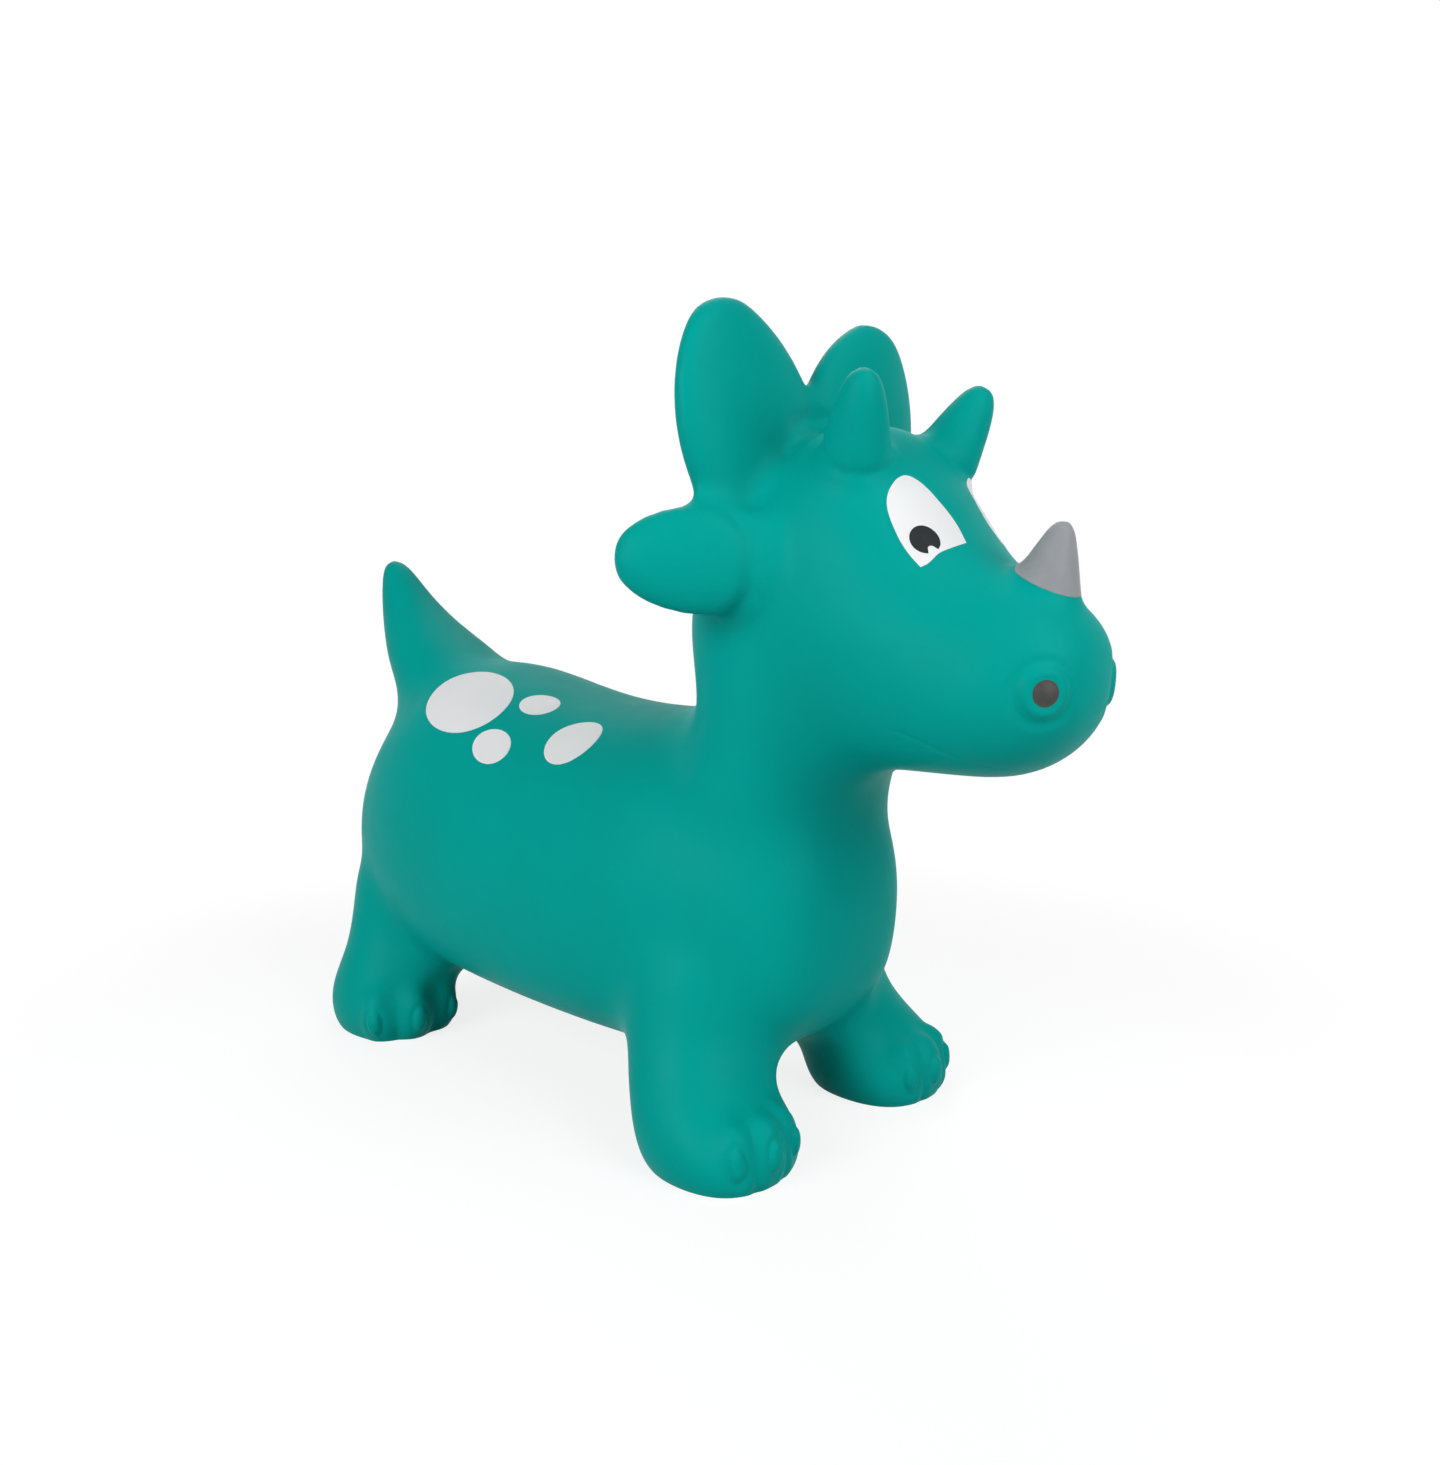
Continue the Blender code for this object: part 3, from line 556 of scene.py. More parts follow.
@dataclass(frozen=True)
class Leg:
    """A pair of legs with their toes and nails. The sizes are the front pair's."""

    trunk: Trunk
    place_share: float = 0.102
    radius: float = 0.0490
    lean_back: float = 0.038
    toe_turns: Row = (35.0, 3.0, -26.0)
    height: float = 0.135
    spread: float = 0.079
    lean_in: float = 0.026
    square: float = 0.22
    foot_width: float = 0.93
    toe_size: Row = (0.026, 0.034, 0.046)
    toe_reach: float = 0.70
    toe_up: float = 0.0190
    toe_sides: int = 40
    toe_rows: int = 24
    nail_reach: float = 0.965
    nail_up: float = 0.0188
    nail_tilt: float = -24.0
    rings: Table = (
        *FOOT_RINGS,
        (0.31, 0.87, 0.06, 0.40, 0.40),
        (0.43, 0.77, 0.22, 0.70, 0.10),
        (0.58, 0.81, 0.55, 0.90, 0.00),
        (0.78, 0.96, 0.95, 1.00, 0.00),
        LEG_TOP,
    )

    @property
    def sole(self) -> Vector:
        """The middle of the right foot's sole."""
        return Vector((-self.spread, self.trunk.point(0, self.place_share, 0).y, 0))

    def model(self) -> Mesh:
        """Model both legs of the pair."""
        sections = []
        for up, wide, tuck, lean, footing in self.rings:
            corner = footing * self.square
            width = 1 - footing * (1 - self.foot_width)
            hub = (self.sole.x + tuck * self.lean_in, self.sole.y + lean * self.lean_back)
            sections.append(Section(up * self.height, width * wide * self.radius, wide * self.radius,
                                    hub, corner, corner))
        return Cage("legs", tuple(sections)).model(mirrored=True)

    def outward(self, angle: float, reach: float, up: float) -> Matrix:
        """A frame on the right foot, turned outward from straight ahead.

        Args:
            angle: The turn, in degrees.
            reach: How far out on the foot's oval, as a share.
            up: The height over the sole.

        Returns:
            The frame, whose Y points back into the foot.
        """
        turn = math.radians(angle)
        shift = Vector((-self.foot_width * math.sin(turn), -math.cos(turn), 0)) * reach * self.radius
        return Matrix.Translation(self.sole + shift + Vector((0, 0, up))) @ Matrix.Rotation(-turn, 4, "Z")

    def nail_frame(self, angle: float) -> Matrix:
        """The frame of one nail, whose X is across it and whose Z runs up it."""
        tilt = Matrix.Rotation(math.radians(self.nail_tilt), 4, "X")
        return self.outward(angle, self.nail_reach, self.nail_up) @ tilt

    def model_toes(self) -> list[Mesh]:
        """Model the toes of both feet, each from a sphere.

        Returns:
            The forms, which overlap the feet.
        """
        forms = []
        for angle in self.toe_turns:
            deselect_all()
            bpy.ops.mesh.primitive_uv_sphere_add(segments=self.toe_sides, ring_count=self.toe_rows,
                                                 radius=0.5)
            form = bpy.context.object
            form.name = "toe"
            with edit_mode(form):
                bpy.ops.transform.resize(value=self.toe_size, center_override=(0, 0, 0))
            settle(form, self.outward(angle, self.toe_reach, self.toe_up))
            add_mirror(form)
            forms.append(apply_modifiers(form))
        return forms


@dataclass(frozen=True)
class Tail:
    """The tail: level rings from inside the rump up to the tip."""

    trunk: Trunk
    radius: float = 0.056
    height: float = 0.135
    sweep: float = 0.1025
    flatness: float = 0.90
    foot_shares: tuple[float, float] = (0.843, 0.841)
    rings: Table = (
        (0.00, 0.00, 0.80),
        (0.28, 0.19, 0.98),
        (0.45, 0.45, 0.78),
        (0.54, 0.60, 0.63),
        (0.63, 0.72, 0.52),
        (0.72, 0.81, 0.42),
        (0.82, 0.895, 0.33),
        (0.92, 0.96, 0.25),
        (0.99, 1.00, 0.15),
    )

    def model(self) -> Mesh:
        """Model the tail."""
        foot = self.trunk.point(0, *self.foot_shares)
        sections = tuple(Section(foot.z + up * self.height, self.flatness * wide * self.radius,
                                 wide * self.radius, (0, foot.y + back * self.sweep))
                         for up, back, wide in self.rings)
        return Cage("tail", sections).model()


@dataclass(frozen=True)
class Horn:
    """A blunt cone on the head. The sizes are the brow horns'."""

    head: Head
    radius: float = 0.0220
    length: float = 0.065
    aside: float = 20.5
    forward: float = 22.0
    place_shares: Row = (-0.50, 0.425, 0.835)
    rings: Table = ((-0.12, 1.00), (0.10, 0.99), (0.35, 0.86), (0.60, 0.71), (0.80, 0.56), (0.94, 0.40),
                    (1.00, 0.20))

    @property
    def base(self) -> Vector:
        """Where the horn's line starts."""
        return self.head.point(*self.place_shares)

    @property
    def axis(self) -> Vector:
        """The horn's line from its base to its tip."""
        lean = Vector((-math.tan(math.radians(self.aside)), -math.tan(math.radians(self.forward)), 1))
        return self.length * lean.normalized()

    def model(self, mirrored: bool) -> Mesh:
        """Model the horn.

        Args:
            mirrored: Whether the other side has one too.

        Returns:
            The form.
        """
        axis = self.axis
        across = axis.cross(Vector((0, 1, 0)))
        sections = tuple(Section(share * self.length, wide * self.radius, wide * self.radius)
                         for share, wide in self.rings)
        return Cage("horn", sections, axes(across, axis.cross(across), axis, self.base)).model(mirrored)


NOSE_HORN_RINGS: Table = ((-0.12, 1.00), (0.10, 0.98), (0.35, 0.82), (0.60, 0.60), (0.80, 0.42),
                          (0.94, 0.28), (1.00, 0.14))


def nose_horn(head: Head) -> Horn:
    """The slimmer horn on the snout."""
    return Horn(head, radius=0.0215, length=0.053, aside=0.0, forward=15.0,
                place_shares=(0.0, 0.836, 0.451), rings=NOSE_HORN_RINGS)


EAR_REACH = 0.113
EAR_LEAN_OUT = math.radians(13)
EAR_LEAN_BACK = math.radians(3.2)
EAR_TURN = math.radians(1)


@dataclass(frozen=True)
class Ear:
    """A pair of leaves that taper and thin towards their tips. The sizes are the upper ears'."""

    head: Head
    width: float = 0.106
    thickness: float = 0.034
    place_shares: Row = (-0.60, 0.159, 0.769)
    line: Row = (-EAR_REACH * math.tan(EAR_LEAN_OUT), EAR_REACH * math.tan(EAR_LEAN_BACK), EAR_REACH)
    outward: Row = (-math.cos(EAR_TURN), math.sin(EAR_TURN), 0.0)
    rings: Table = (
        (-0.16, 0.94, 1.00, -0.12),
        (0.06, 1.04, 1.00, -0.12),
        (0.30, 1.09, 0.96, -0.06),
        (0.54, 1.02, 0.88, -0.03),
        (0.76, 0.80, 0.76, -0.005),
        (0.92, 0.49, 0.60, 0.02),
        (1.00, 0.23, 0.34, 0.02),
    )

    def model(self) -> Mesh:
        """Model both ears of the pair."""
        axis, out = Vector(self.line), Vector(self.outward)
        across = (out - out.project(axis)).normalized()
        sections = tuple(Section(share * axis.length, wide * self.width / 2, thick * self.thickness / 2,
                                 (aside * self.width, 0)) for share, wide, thick, aside in self.rings)
        placement = axes(across, axis.cross(across), axis, self.head.point(*self.place_shares))
        return Cage("ears", sections, placement).model(mirrored=True)


SIDE_EAR_REACH = 0.0937
SIDE_EAR_SWEEP = math.radians(40)
SIDE_EAR_LIFT = math.radians(2.5)
SIDE_EAR_RINGS: Table = (
    (-0.16, 0.76, 1.00, 0.00),
    (0.06, 0.84, 1.00, 0.00),
    (0.30, 0.96, 0.98, 0.00),
    (0.54, 1.00, 0.90, 0.00),
    (0.76, 0.86, 0.78, 0.00),
    (0.92, 0.58, 0.60, 0.00),
    (1.00, 0.28, 0.34, 0.00),
)


def side_ears(head: Head) -> Ear:
    """The pair of ovals that stand out from the cheeks."""
    line = (-SIDE_EAR_REACH * math.cos(SIDE_EAR_SWEEP), SIDE_EAR_REACH * math.sin(SIDE_EAR_SWEEP),
            SIDE_EAR_REACH * math.tan(SIDE_EAR_LIFT))
    return Ear(head, width=0.0615, thickness=0.032, place_shares=(-0.827, 0.310, 0.598), line=line,
               outward=(0.0, 0.0, 1.0), rings=SIDE_EAR_RINGS)


@dataclass(frozen=True)
class Nostril:
    """Where the nostrils sit on the snout."""

    head: Head
    place_shares: Row = (0.493, 0.956, 0.260)
    turn: float = 38.0
    lift: float = -2.0

    def frame(self, body: Mesh, side: Side) -> Matrix:
        """A frame on the snout's surface at one nostril.

        Args:
            body: The body.
            side: The side of the animal.

        Returns:
            The frame, whose Z points out.
        """
        across, along, up = self.place_shares
        out = facing(side, self.turn, self.lift)
        start = self.head.point(side.value * across, along, up) + self.head.width * out
        return facing_frame(surface_hit(body, start, -out), out)


# Carving: fine creases and ridges that are pressed into the finished surface


def own_places(own: Matrix, places: np.ndarray) -> np.ndarray:
    """Places as a frame's own coordinates, one row for each."""
    back = np.array(own.inverted())
    return places @ back[:3, :3].T + back[:3, 3]


@dataclass(frozen=True)
class Crease:
    """A line that is pressed into the skin on both sides."""

    points: Table
    radius: float
    depth: float
    fade_rate: float = 5.0
    end_share: float = 0.15

    def amount(self, places: np.ndarray) -> np.ndarray:
        """How deep the crease is at places on the right side.

        Args:
            places: One row for each place.

        Returns:
            The depths, which fade towards both ends of the line.
        """
        line = np.array(self.points)
        steps = np.diff(line, axis=0)
        lengths = np.linalg.norm(steps, axis=1)
        nearest = np.full(len(places), np.inf)
        share = np.zeros(len(places))
        done = 0.0
        for start, step, length in zip(line, steps, lengths):
            along = np.clip(((places - start) @ step) / length**2, 0, 1)
            gap = np.linalg.norm(places - start - along[:, None] * step, axis=1)
            closer = gap < nearest
            nearest[closer] = gap[closer]
            share[closer] = (done + along[closer] * length) / lengths.sum()
            done += length
        fade = np.clip(np.minimum(share, 1 - share) * self.fade_rate, self.end_share, 1)
        return self.depth * fade * np.exp(-((nearest / self.radius) ** 2))


@dataclass(frozen=True)
class Nail:
    """One nail: a low oval swelling with a soft groove round it."""

    frame: Matrix
    half_width: float = 0.0060
    half_height: float = 0.0100
    rise: float = 0.0012
    plateau_share: float = 0.8
    groove_width: float = 0.0016
    groove_depth: float = 0.0010
    reach: float = 0.014
    fading: float = 0.004

    def amount(self, places: np.ndarray) -> np.ndarray:
        """How deep the nail's relief is at places on the right side.

        Args:
            places: One row for each place.

        Returns:
            The depths, negative where the nail stands up.
        """
        own = own_places(self.frame, places)
        ratio = np.hypot(own[:, 0] / self.half_width, own[:, 2] / self.half_height)
        off = (ratio - 1) * self.half_width
        near = np.clip((self.reach - np.abs(own[:, 1])) / self.fading, 0, 1)
        groove = self.groove_depth * np.exp(-((off / self.groove_width) ** 2))
        return near * (groove - self.rise * np.exp(-((ratio / self.plateau_share) ** 4)))


@dataclass(frozen=True)
class NostrilRelief:
    """A nostril's soft rim, the dip round it and the low dome inside. Rows: radius, width, rise."""

    frame: Matrix
    rings: Table = (
        (0.0105, 0.0028, 0.0011),
        (0.0158, 0.0030, -0.0012),
        (0.0000, 0.0048, 0.0012),
    )
    reach: float = 0.020
    fading: float = 0.004

    def amount(self, places: np.ndarray) -> np.ndarray:
        """How deep the nostril's relief is at places on the right side.

        Args:
            places: One row for each place.

        Returns:
            The depths, negative where the rim and the dome stand up.
        """
        own = own_places(self.frame, places)
        radius = np.hypot(own[:, 0], own[:, 1])
        near = np.clip((self.reach - np.abs(own[:, 2])) / self.fading, 0, 1)
        return -near * sum(rise * np.exp(-(((radius - middle) / width) ** 2))
                           for middle, width, rise in self.rings)


Relief = Crease | Nail | NostrilRelief
LEAST_RELIEF = 0.00005
LEAST_WEIGHT = 0.02


def carve(body: Mesh, reliefs: Iterable[Relief]) -> None:
    """Press creases into a body and raise its ridges, the same on both sides.

    Args:
        body: The body, which is fine enough to show them.
        reliefs: What is pressed in or raised.
    """
    places = np.empty(len(body.data.vertices) * 3)
    body.data.vertices.foreach_get("co", places)
    places = places.reshape(-1, 3)
    places[:, 0] = -np.abs(places[:, 0])
    depth = sum(relief.amount(places) for relief in reliefs)
    for name, sign in (("pressed", 1), ("raised", -1)):
        part = np.clip(sign * depth, 0, None)
        deepest = float(part.max())
        if deepest < LEAST_RELIEF:
            continue
        group = body.vertex_groups.new(name=name)
        for index in np.nonzero(part > LEAST_WEIGHT * deepest)[0]:
            group.add([int(index)], float(part[index]) / deepest, "REPLACE")
        add_offset(body, -sign * deepest, name)
    apply_modifiers(body)
    body.vertex_groups.clear()


# Finishes


NOISE_MIDDLE = (0.3, 0.7)
WHITE = (1, 1, 1, 1)


def screen_to_light(share: float) -> float:
    """A colour value as light, from its share on a screen."""
    return share / 12.92 if share <= 0.04045 else ((share + 0.055) / 1.055) ** 2.4


@dataclass(frozen=True)
class Graph:
    """A tree of shader nodes, which gets more nodes."""

    tree: bpy.types.NodeTree

    def fill(self, node: bpy.types.Node, inputs: dict[str | int, object]) -> None:
        """Set a node's inputs, or link them.

        Args:
            node: The node.
            inputs: A value or another node's socket for each input, by its name or number.
        """
        for key, value in inputs.items():
            if isinstance(value, Socket):
                self.tree.links.new(value, node.inputs[key])
            else:
                node.inputs[key].default_value = value

    def add(self, kind: str, output: str, inputs: dict[str | int, object], **settings: str) -> Socket:
        """Add a node.

        Args:
            kind: The node's type.
            output: The output that is used.
            inputs: A value or another node's socket for each input, by its name or number.
            **settings: What the node itself is set to, before its inputs.

        Returns:
            The output's socket.
        """
        node = self.tree.nodes.new("ShaderNode" + kind)
        for name, value in settings.items():
            setattr(node, name, value)
        self.fill(node, inputs)
        return node.outputs[output]

    def add_range(self, value: Socket, start: Row, end: Row, **settings: str) -> Socket:
        """Bring a value from one range to another."""
        inputs = dict(zip(("Value", "From Min", "From Max", "To Min", "To Max"), (value, *start, *end)))
        return self.add("MapRange", "Result", inputs, **settings)

    def add_noise(self, size: float, detail: float) -> Socket:
        """Add a noise pattern on the object's own coordinates, with patches of a size in metres."""
        place = self.add("TexCoord", "Object", {})
        return self.add("TexNoise", "Fac", {"Scale": 1 / size, "Detail": detail, "Vector": place})


@dataclass(frozen=True)
class Finish:
    """A finish of moulded PVC or paint: its colour, how it varies, its gloss and its grain."""

    name: str
    colour: Row
    shade: Row
    roughness: float
    roughness_range: float
    patch_size: float
    grain_size: float
    grain_depth: float
    specular: float = 0.5

    def material(self) -> bpy.types.Material:
        """Make the finish, or fetch it where it is made already.

        The colour drifts between two near tones in broad patches, the roughness varies a little,
        and the mould leaves a fine grain.

        Returns:
            The material.
        """
        found = bpy.data.materials.get(self.name)
        if found:
            return found
        material = bpy.data.materials.new(self.name)
        material.use_nodes = True
        graph = Graph(material.node_tree)
        colour = graph.add("Mix", "Result", {
            "Factor": graph.add_range(graph.add_noise(self.patch_size, 2), NOISE_MIDDLE, (0, 1)),
            "A": (*map(screen_to_light, self.colour), 1),
            "B": (*map(screen_to_light, self.shade), 1),
        }, data_type="RGBA")
        ends = (self.roughness - self.roughness_range, self.roughness + self.roughness_range)
        graph.fill(material.node_tree.nodes["Principled BSDF"], {
            "Specular IOR Level": self.specular,
            "Base Color": colour,
            "Roughness": graph.add_range(graph.add_noise(self.patch_size / 4, 4), NOISE_MIDDLE, ends),
            "Normal": graph.add("Bump", "Normal", {"Strength": 1, "Distance": self.grain_depth,
                                                   "Height": graph.add_noise(self.grain_size, 2)}),
        })
        return material


class Slot(Enum):
    """The record's material slots with the finish that each one gets."""

    TEAL_SKIN = Finish("teal_pvc", (0.000, 0.665, 0.632), (0.012, 0.650, 0.612), 0.45, 0.04,
                       0.070, 0.0011, 0.00006, 0.03)
    WHITE_PLUG = Finish("plug_pvc", (0.88, 0.89, 0.88), (0.86, 0.87, 0.86), 0.38, 0.03,
                        0.010, 0.0006, 0.00003)
    WHITE_PAINT = Finish("white_coat", (0.975, 0.978, 0.985), (0.962, 0.968, 0.976), 0.45, 0.04,
                         0.030, 0.0009, 0.00004, 0.20)
    GREY_PAINT = Finish("grey_coat", (0.615, 0.627, 0.645), (0.590, 0.602, 0.620), 0.45, 0.05,
                        0.012, 0.0007, 0.00005, 0.20)
    BLACK_PAINT = Finish("black_coat", (0.112, 0.132, 0.143), (0.098, 0.118, 0.130), 0.40, 0.04,
                         0.006, 0.0006, 0.00006, 0.12)
    DARK_PAINT = Finish("nostril_coat", (0.300, 0.297, 0.290), (0.262, 0.260, 0.255), 0.42, 0.05,
                        0.005, 0.0006, 0.00006, 0.25)

    @property
    def label(self) -> str:
        """The slot's name in the record."""
        return self.name.lower()


def dress(piece: Mesh, body: str, slot: Slot, node: str) -> Mesh:
    """Give a finished piece its finish and its body, and hide the CAD node that it stands for.

    Args:
        piece: The piece.
        body: The CAD body that it moves with.
        slot: The record's slot, with its finish.
        node: The CAD node that it replaces.

    Returns:
        The same piece.
    """
    piece.data.materials.clear()
    piece.data.materials.append(slot.value.material())
    make_active(piece)
    bpy.ops.object.shade_smooth_by_angle(angle=SMOOTH_ANGLE)
    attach(piece, body)
    slot.label
    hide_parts(node)
    LOG.info("%s: %d faces", piece.name, len(piece.data.polygons))
    return piece


# The valve and its plug


def model_turned(name: str, profile: Table, placement: Matrix, sides: int) -> Mesh:
    """Model a turned form from a disc, extruded along its profile.

    Args:
        name: The form's name.
        profile: Rows of radius and height, from one end to the other.
        placement: Where it goes.
        sides: How many sides its rings have.

    Returns:
        The closed form.
    """
    deselect_all()
    radius, height = profile[0]
    bpy.ops.mesh.primitive_circle_add(vertices=sides, radius=radius, fill_type="NGON",
                                      location=(0, 0, height))
    form = settle(bpy.context.object, bpy.context.object.matrix_world.copy())
    form.name = name
    with edit_mode(form):
        for (old_radius, old_height), (radius, height) in zip(profile, profile[1:]):
            bpy.ops.mesh.extrude_region_move()
            ratio = radius / old_radius
            bpy.ops.transform.resize(value=(ratio, ratio, 1), center_override=(0, 0, old_height))
            bpy.ops.transform.translate(value=(0, 0, height - old_height))
    return settle(clean(form), placement)


@dataclass(frozen=True)
class AirPlug:
    """The plug under the belly: a flat head with a finger lip and a ribbed stem."""

    trunk: Trunk
    share: float = 0.534
    line_start: float = 0.001
    bore_radius: float = 0.0049
    bore_depth: float = 0.0220
    bore_sides: int = 48
    mouth_radius: float = 0.0098
    seat_depth: float = 0.0023
    overrun: float = 0.010
    plug_sides: int = 64
    profile: Table = (
        (0.0026, 0.0169), (0.0031, 0.0164), (0.0038, 0.01465), (0.0045, 0.01325), (0.0038, 0.01280),
        (0.0038, 0.01045), (0.0045, 0.00950), (0.0038, 0.00905), (0.0038, 0.00670), (0.0045, 0.00575),
        (0.0038, 0.00530), (0.0038, 0.0021), (0.0090, 0.00195), (0.0094, 0.0015), (0.0094, 0.0006),
        (0.0090, 0.0001), (0.0074, 0.00005), (0.0070, 0.0005), (0.0030, 0.0006), (0.0026, 0.0001),
        (0.0008, 0.00005),
    )

    def place(self, body: Mesh) -> Vector:
        """Where the valve's axis leaves the belly."""
        start = Vector((0, self.trunk.point(0, self.share, 0).y, self.line_start))
        return surface_hit(body, start, UP)

    def bore(self, body: Mesh) -> None:
        """Cut the valve's bore and its seat into the belly.

        Args:
            body: The finished skin.
        """
        profile = ((self.bore_radius, self.bore_depth), (self.bore_radius, self.seat_depth),
                   (self.mouth_radius, self.seat_depth), (self.mouth_radius, -self.overrun))
        cutter = model_turned("valve_bore", profile, Matrix.Translation(self.place(body)), self.bore_sides)
        add_step(body, "BOOLEAN", operation="DIFFERENCE", solver="EXACT", object=cutter)
        apply_modifiers(body)
        bpy.data.objects.remove(cutter)

    def build(self, seat: Vector) -> Mesh:
        """Model and dress the plug, from where the valve's axis leaves the belly."""
        plug = model_turned("air_plug_piece", self.profile, Matrix.Translation(seat), self.plug_sides)
        return dress(plug, "plug", Slot.WHITE_PLUG, "air_plug")


# The skin


MOUTH: Table = (
    (-0.800, 0.575, 0.150), (-0.794, 0.596, 0.141), (-0.774, 0.639, 0.127), (-0.742, 0.684, 0.110),
    (-0.656, 0.743, 0.076), (-0.577, 0.780, 0.058), (-0.451, 0.822, 0.044), (-0.295, 0.853, 0.038),
    (-0.100, 0.872, 0.034),
)
HORN_FOLD: Table = (
    (-0.700, 0.370, 0.990), (-0.765, 0.398, 0.941), (-0.812, 0.426, 0.888), (-0.778, 0.473, 0.861),
    (-0.671, 0.512, 0.855), (-0.491, 0.531, 0.880), (-0.255, 0.498, 0.925),
)
EAR_FOLD: Table = (
    (-1.247, 0.203, 0.765), (-1.179, 0.253, 0.740), (-1.135, 0.287, 0.683), (-1.151, 0.298, 0.597),
    (-1.157, 0.288, 0.510), (-1.165, 0.249, 0.458), (-1.060, 0.160, 0.435),
)
CROWN_FOLD: Table = (
    (0.300, 0.190, 1.050), (-0.098, 0.192, 1.045), (-0.338, 0.214, 1.010), (-0.584, 0.246, 0.930),
    (-0.770, 0.235, 0.865),
)
HEAD_CREASES = ((MOUTH, 0.0013, 0.0005), (HORN_FOLD, 0.0030, 0.0013), (EAR_FOLD, 0.0050, 0.0030),
                (CROWN_FOLD, 0.0070, 0.0038))
TOE_GROOVE = ((0.78, 0.040), (0.88, 0.030), (0.96, 0.020), (0.98, 0.010), (0.96, -0.008))
TOE_GROOVE_RADIUS = 0.0032
TOE_GROOVE_DEPTH = 0.0015


class Skin:
    """The moulded skin: all its forms grown together, with its fine creases and its valve."""

    detail_grid: float = 0.0013
    smoothing: int = 5
    triangles: int = 186000

    def __init__(self) -> None:
        """Hang each form on the one that carries it."""
        self.trunk = Trunk()
        self.head = Head(Neck(self.trunk))
        self.nose_horn = nose_horn(self.head)
        self.nostril = Nostril(self.head)
        self.front_legs = Leg(self.trunk)
        self.rear_legs = Leg(self.trunk, place_share=0.848, radius=0.0465, lean_back=0.006,
                             toe_turns=(52.0, 13.0, -25.0), toe_reach=0.80, nail_up=0.0135,
                             rings=REAR_LEG_RINGS)
        self.plug = AirPlug(self.trunk)

    def reliefs(self, body: Mesh) -> list[Relief]:
        """The fine forms of the skin.

        Args:
            body: The body that gets them.

        Returns:
            The mouth's crease, the folds at the roots of horns and ears, the nostrils and the nails.
        """
        made: list[Relief] = [NostrilRelief(self.nostril.frame(body, Side.RIGHT))]
        for shares, radius, depth in HEAD_CREASES:
            made.append(Crease(tuple(tuple(self.head.point(*row)) for row in shares), radius, depth))
        for legs in (self.front_legs, self.rear_legs):
            for first, second in zip(legs.toe_turns, legs.toe_turns[1:]):
                made.append(self.toe_groove(legs, (first + second) / 2))
            made.extend(Nail(legs.nail_frame(angle)) for angle in legs.toe_turns)
        return made

    @staticmethod
    def toe_groove(legs: Leg, angle: float) -> Crease:
        """The groove between two toes, from above them down to the sole."""
        points = tuple(tuple(legs.outward(angle, reach, up).translation) for reach, up in TOE_GROOVE)
        return Crease(points, TOE_GROOVE_RADIUS, TOE_GROOVE_DEPTH)

    def form(self) -> Mesh:
        """Grow the forms together, from the largest to the smallest.

        Returns:
            The fine body, not yet thinned.
        """
        body = fuse("rear", (self.trunk.model(), Tail(self.trunk).model()), Fusion.REAR)
        body = fuse("torso", (body, self.head.neck.model(), self.head.model()), Fusion.TORSO)
        body = fuse("front", (body, self.front_legs.model()), Fusion.SHOULDERS)
        body = fuse("limbs", (body, self.rear_legs.model()), Fusion.HIPS)
        crest = (self.nose_horn.model(False), Horn(self.head).model(True), Ear(self.head).model(),
                 side_ears(self.head).model())
        toes = self.front_legs.model_toes() + self.rear_legs.model_toes()
        body = fuse("skin_piece", (body, *crest, *toes), Fusion.CREST)
        LOG.info("forms grown together: %d faces", len(body.data.polygons))
        add_subdivision(body, 1)
        add_remesh(body, self.detail_grid)
        add_smoothing(body, self.smoothing)
        return apply_modifiers(body)

    def build(self) -> tuple[Mesh, Vector]:
        """Model and dress the skin.

        Returns:
            The skin, and where the valve's axis leaves the belly.
        """
        body = self.form()
        LOG.info("fine skin: %d faces", len(body.data.polygons))
        carve(body, self.reliefs(body))
        # Every face is a quad here, which counts as two triangles.
        add_step(body, "DECIMATE", ratio=self.triangles / (2 * len(body.data.polygons)))
        apply_modifiers(body)
        with edit_mode(body):
            bpy.ops.mesh.bisect(plane_co=(0, 0, 0), plane_no=(0, 0, -1), clear_outer=True, use_fill=True,
                                threshold=CUT_TOLERANCE)
            bpy.ops.mesh.select_all(action="SELECT")
            bpy.ops.mesh.quads_convert_to_tris(quad_method="BEAUTY", ngon_method="BEAUTY")
        seat = self.plug.place(body)
        self.plug.bore(body)
        return dress(body, "animal", Slot.TEAL_SKIN, "skin"), seat


# Coats of paint


COAT_THICKNESS = 0.0004


def thicken(patch: Mesh, rise: float) -> None:
    """Lift a patch's outside off the skin by a small rise, and give it the thickness of a coat.

    Args:
        patch: The patch, on the skin.
        rise: How far its outside stands off the skin.
    """
    add_offset(patch, rise)
    add_step(patch, "SOLIDIFY", thickness=COAT_THICKNESS, offset=-1)
    apply_modifiers(patch)


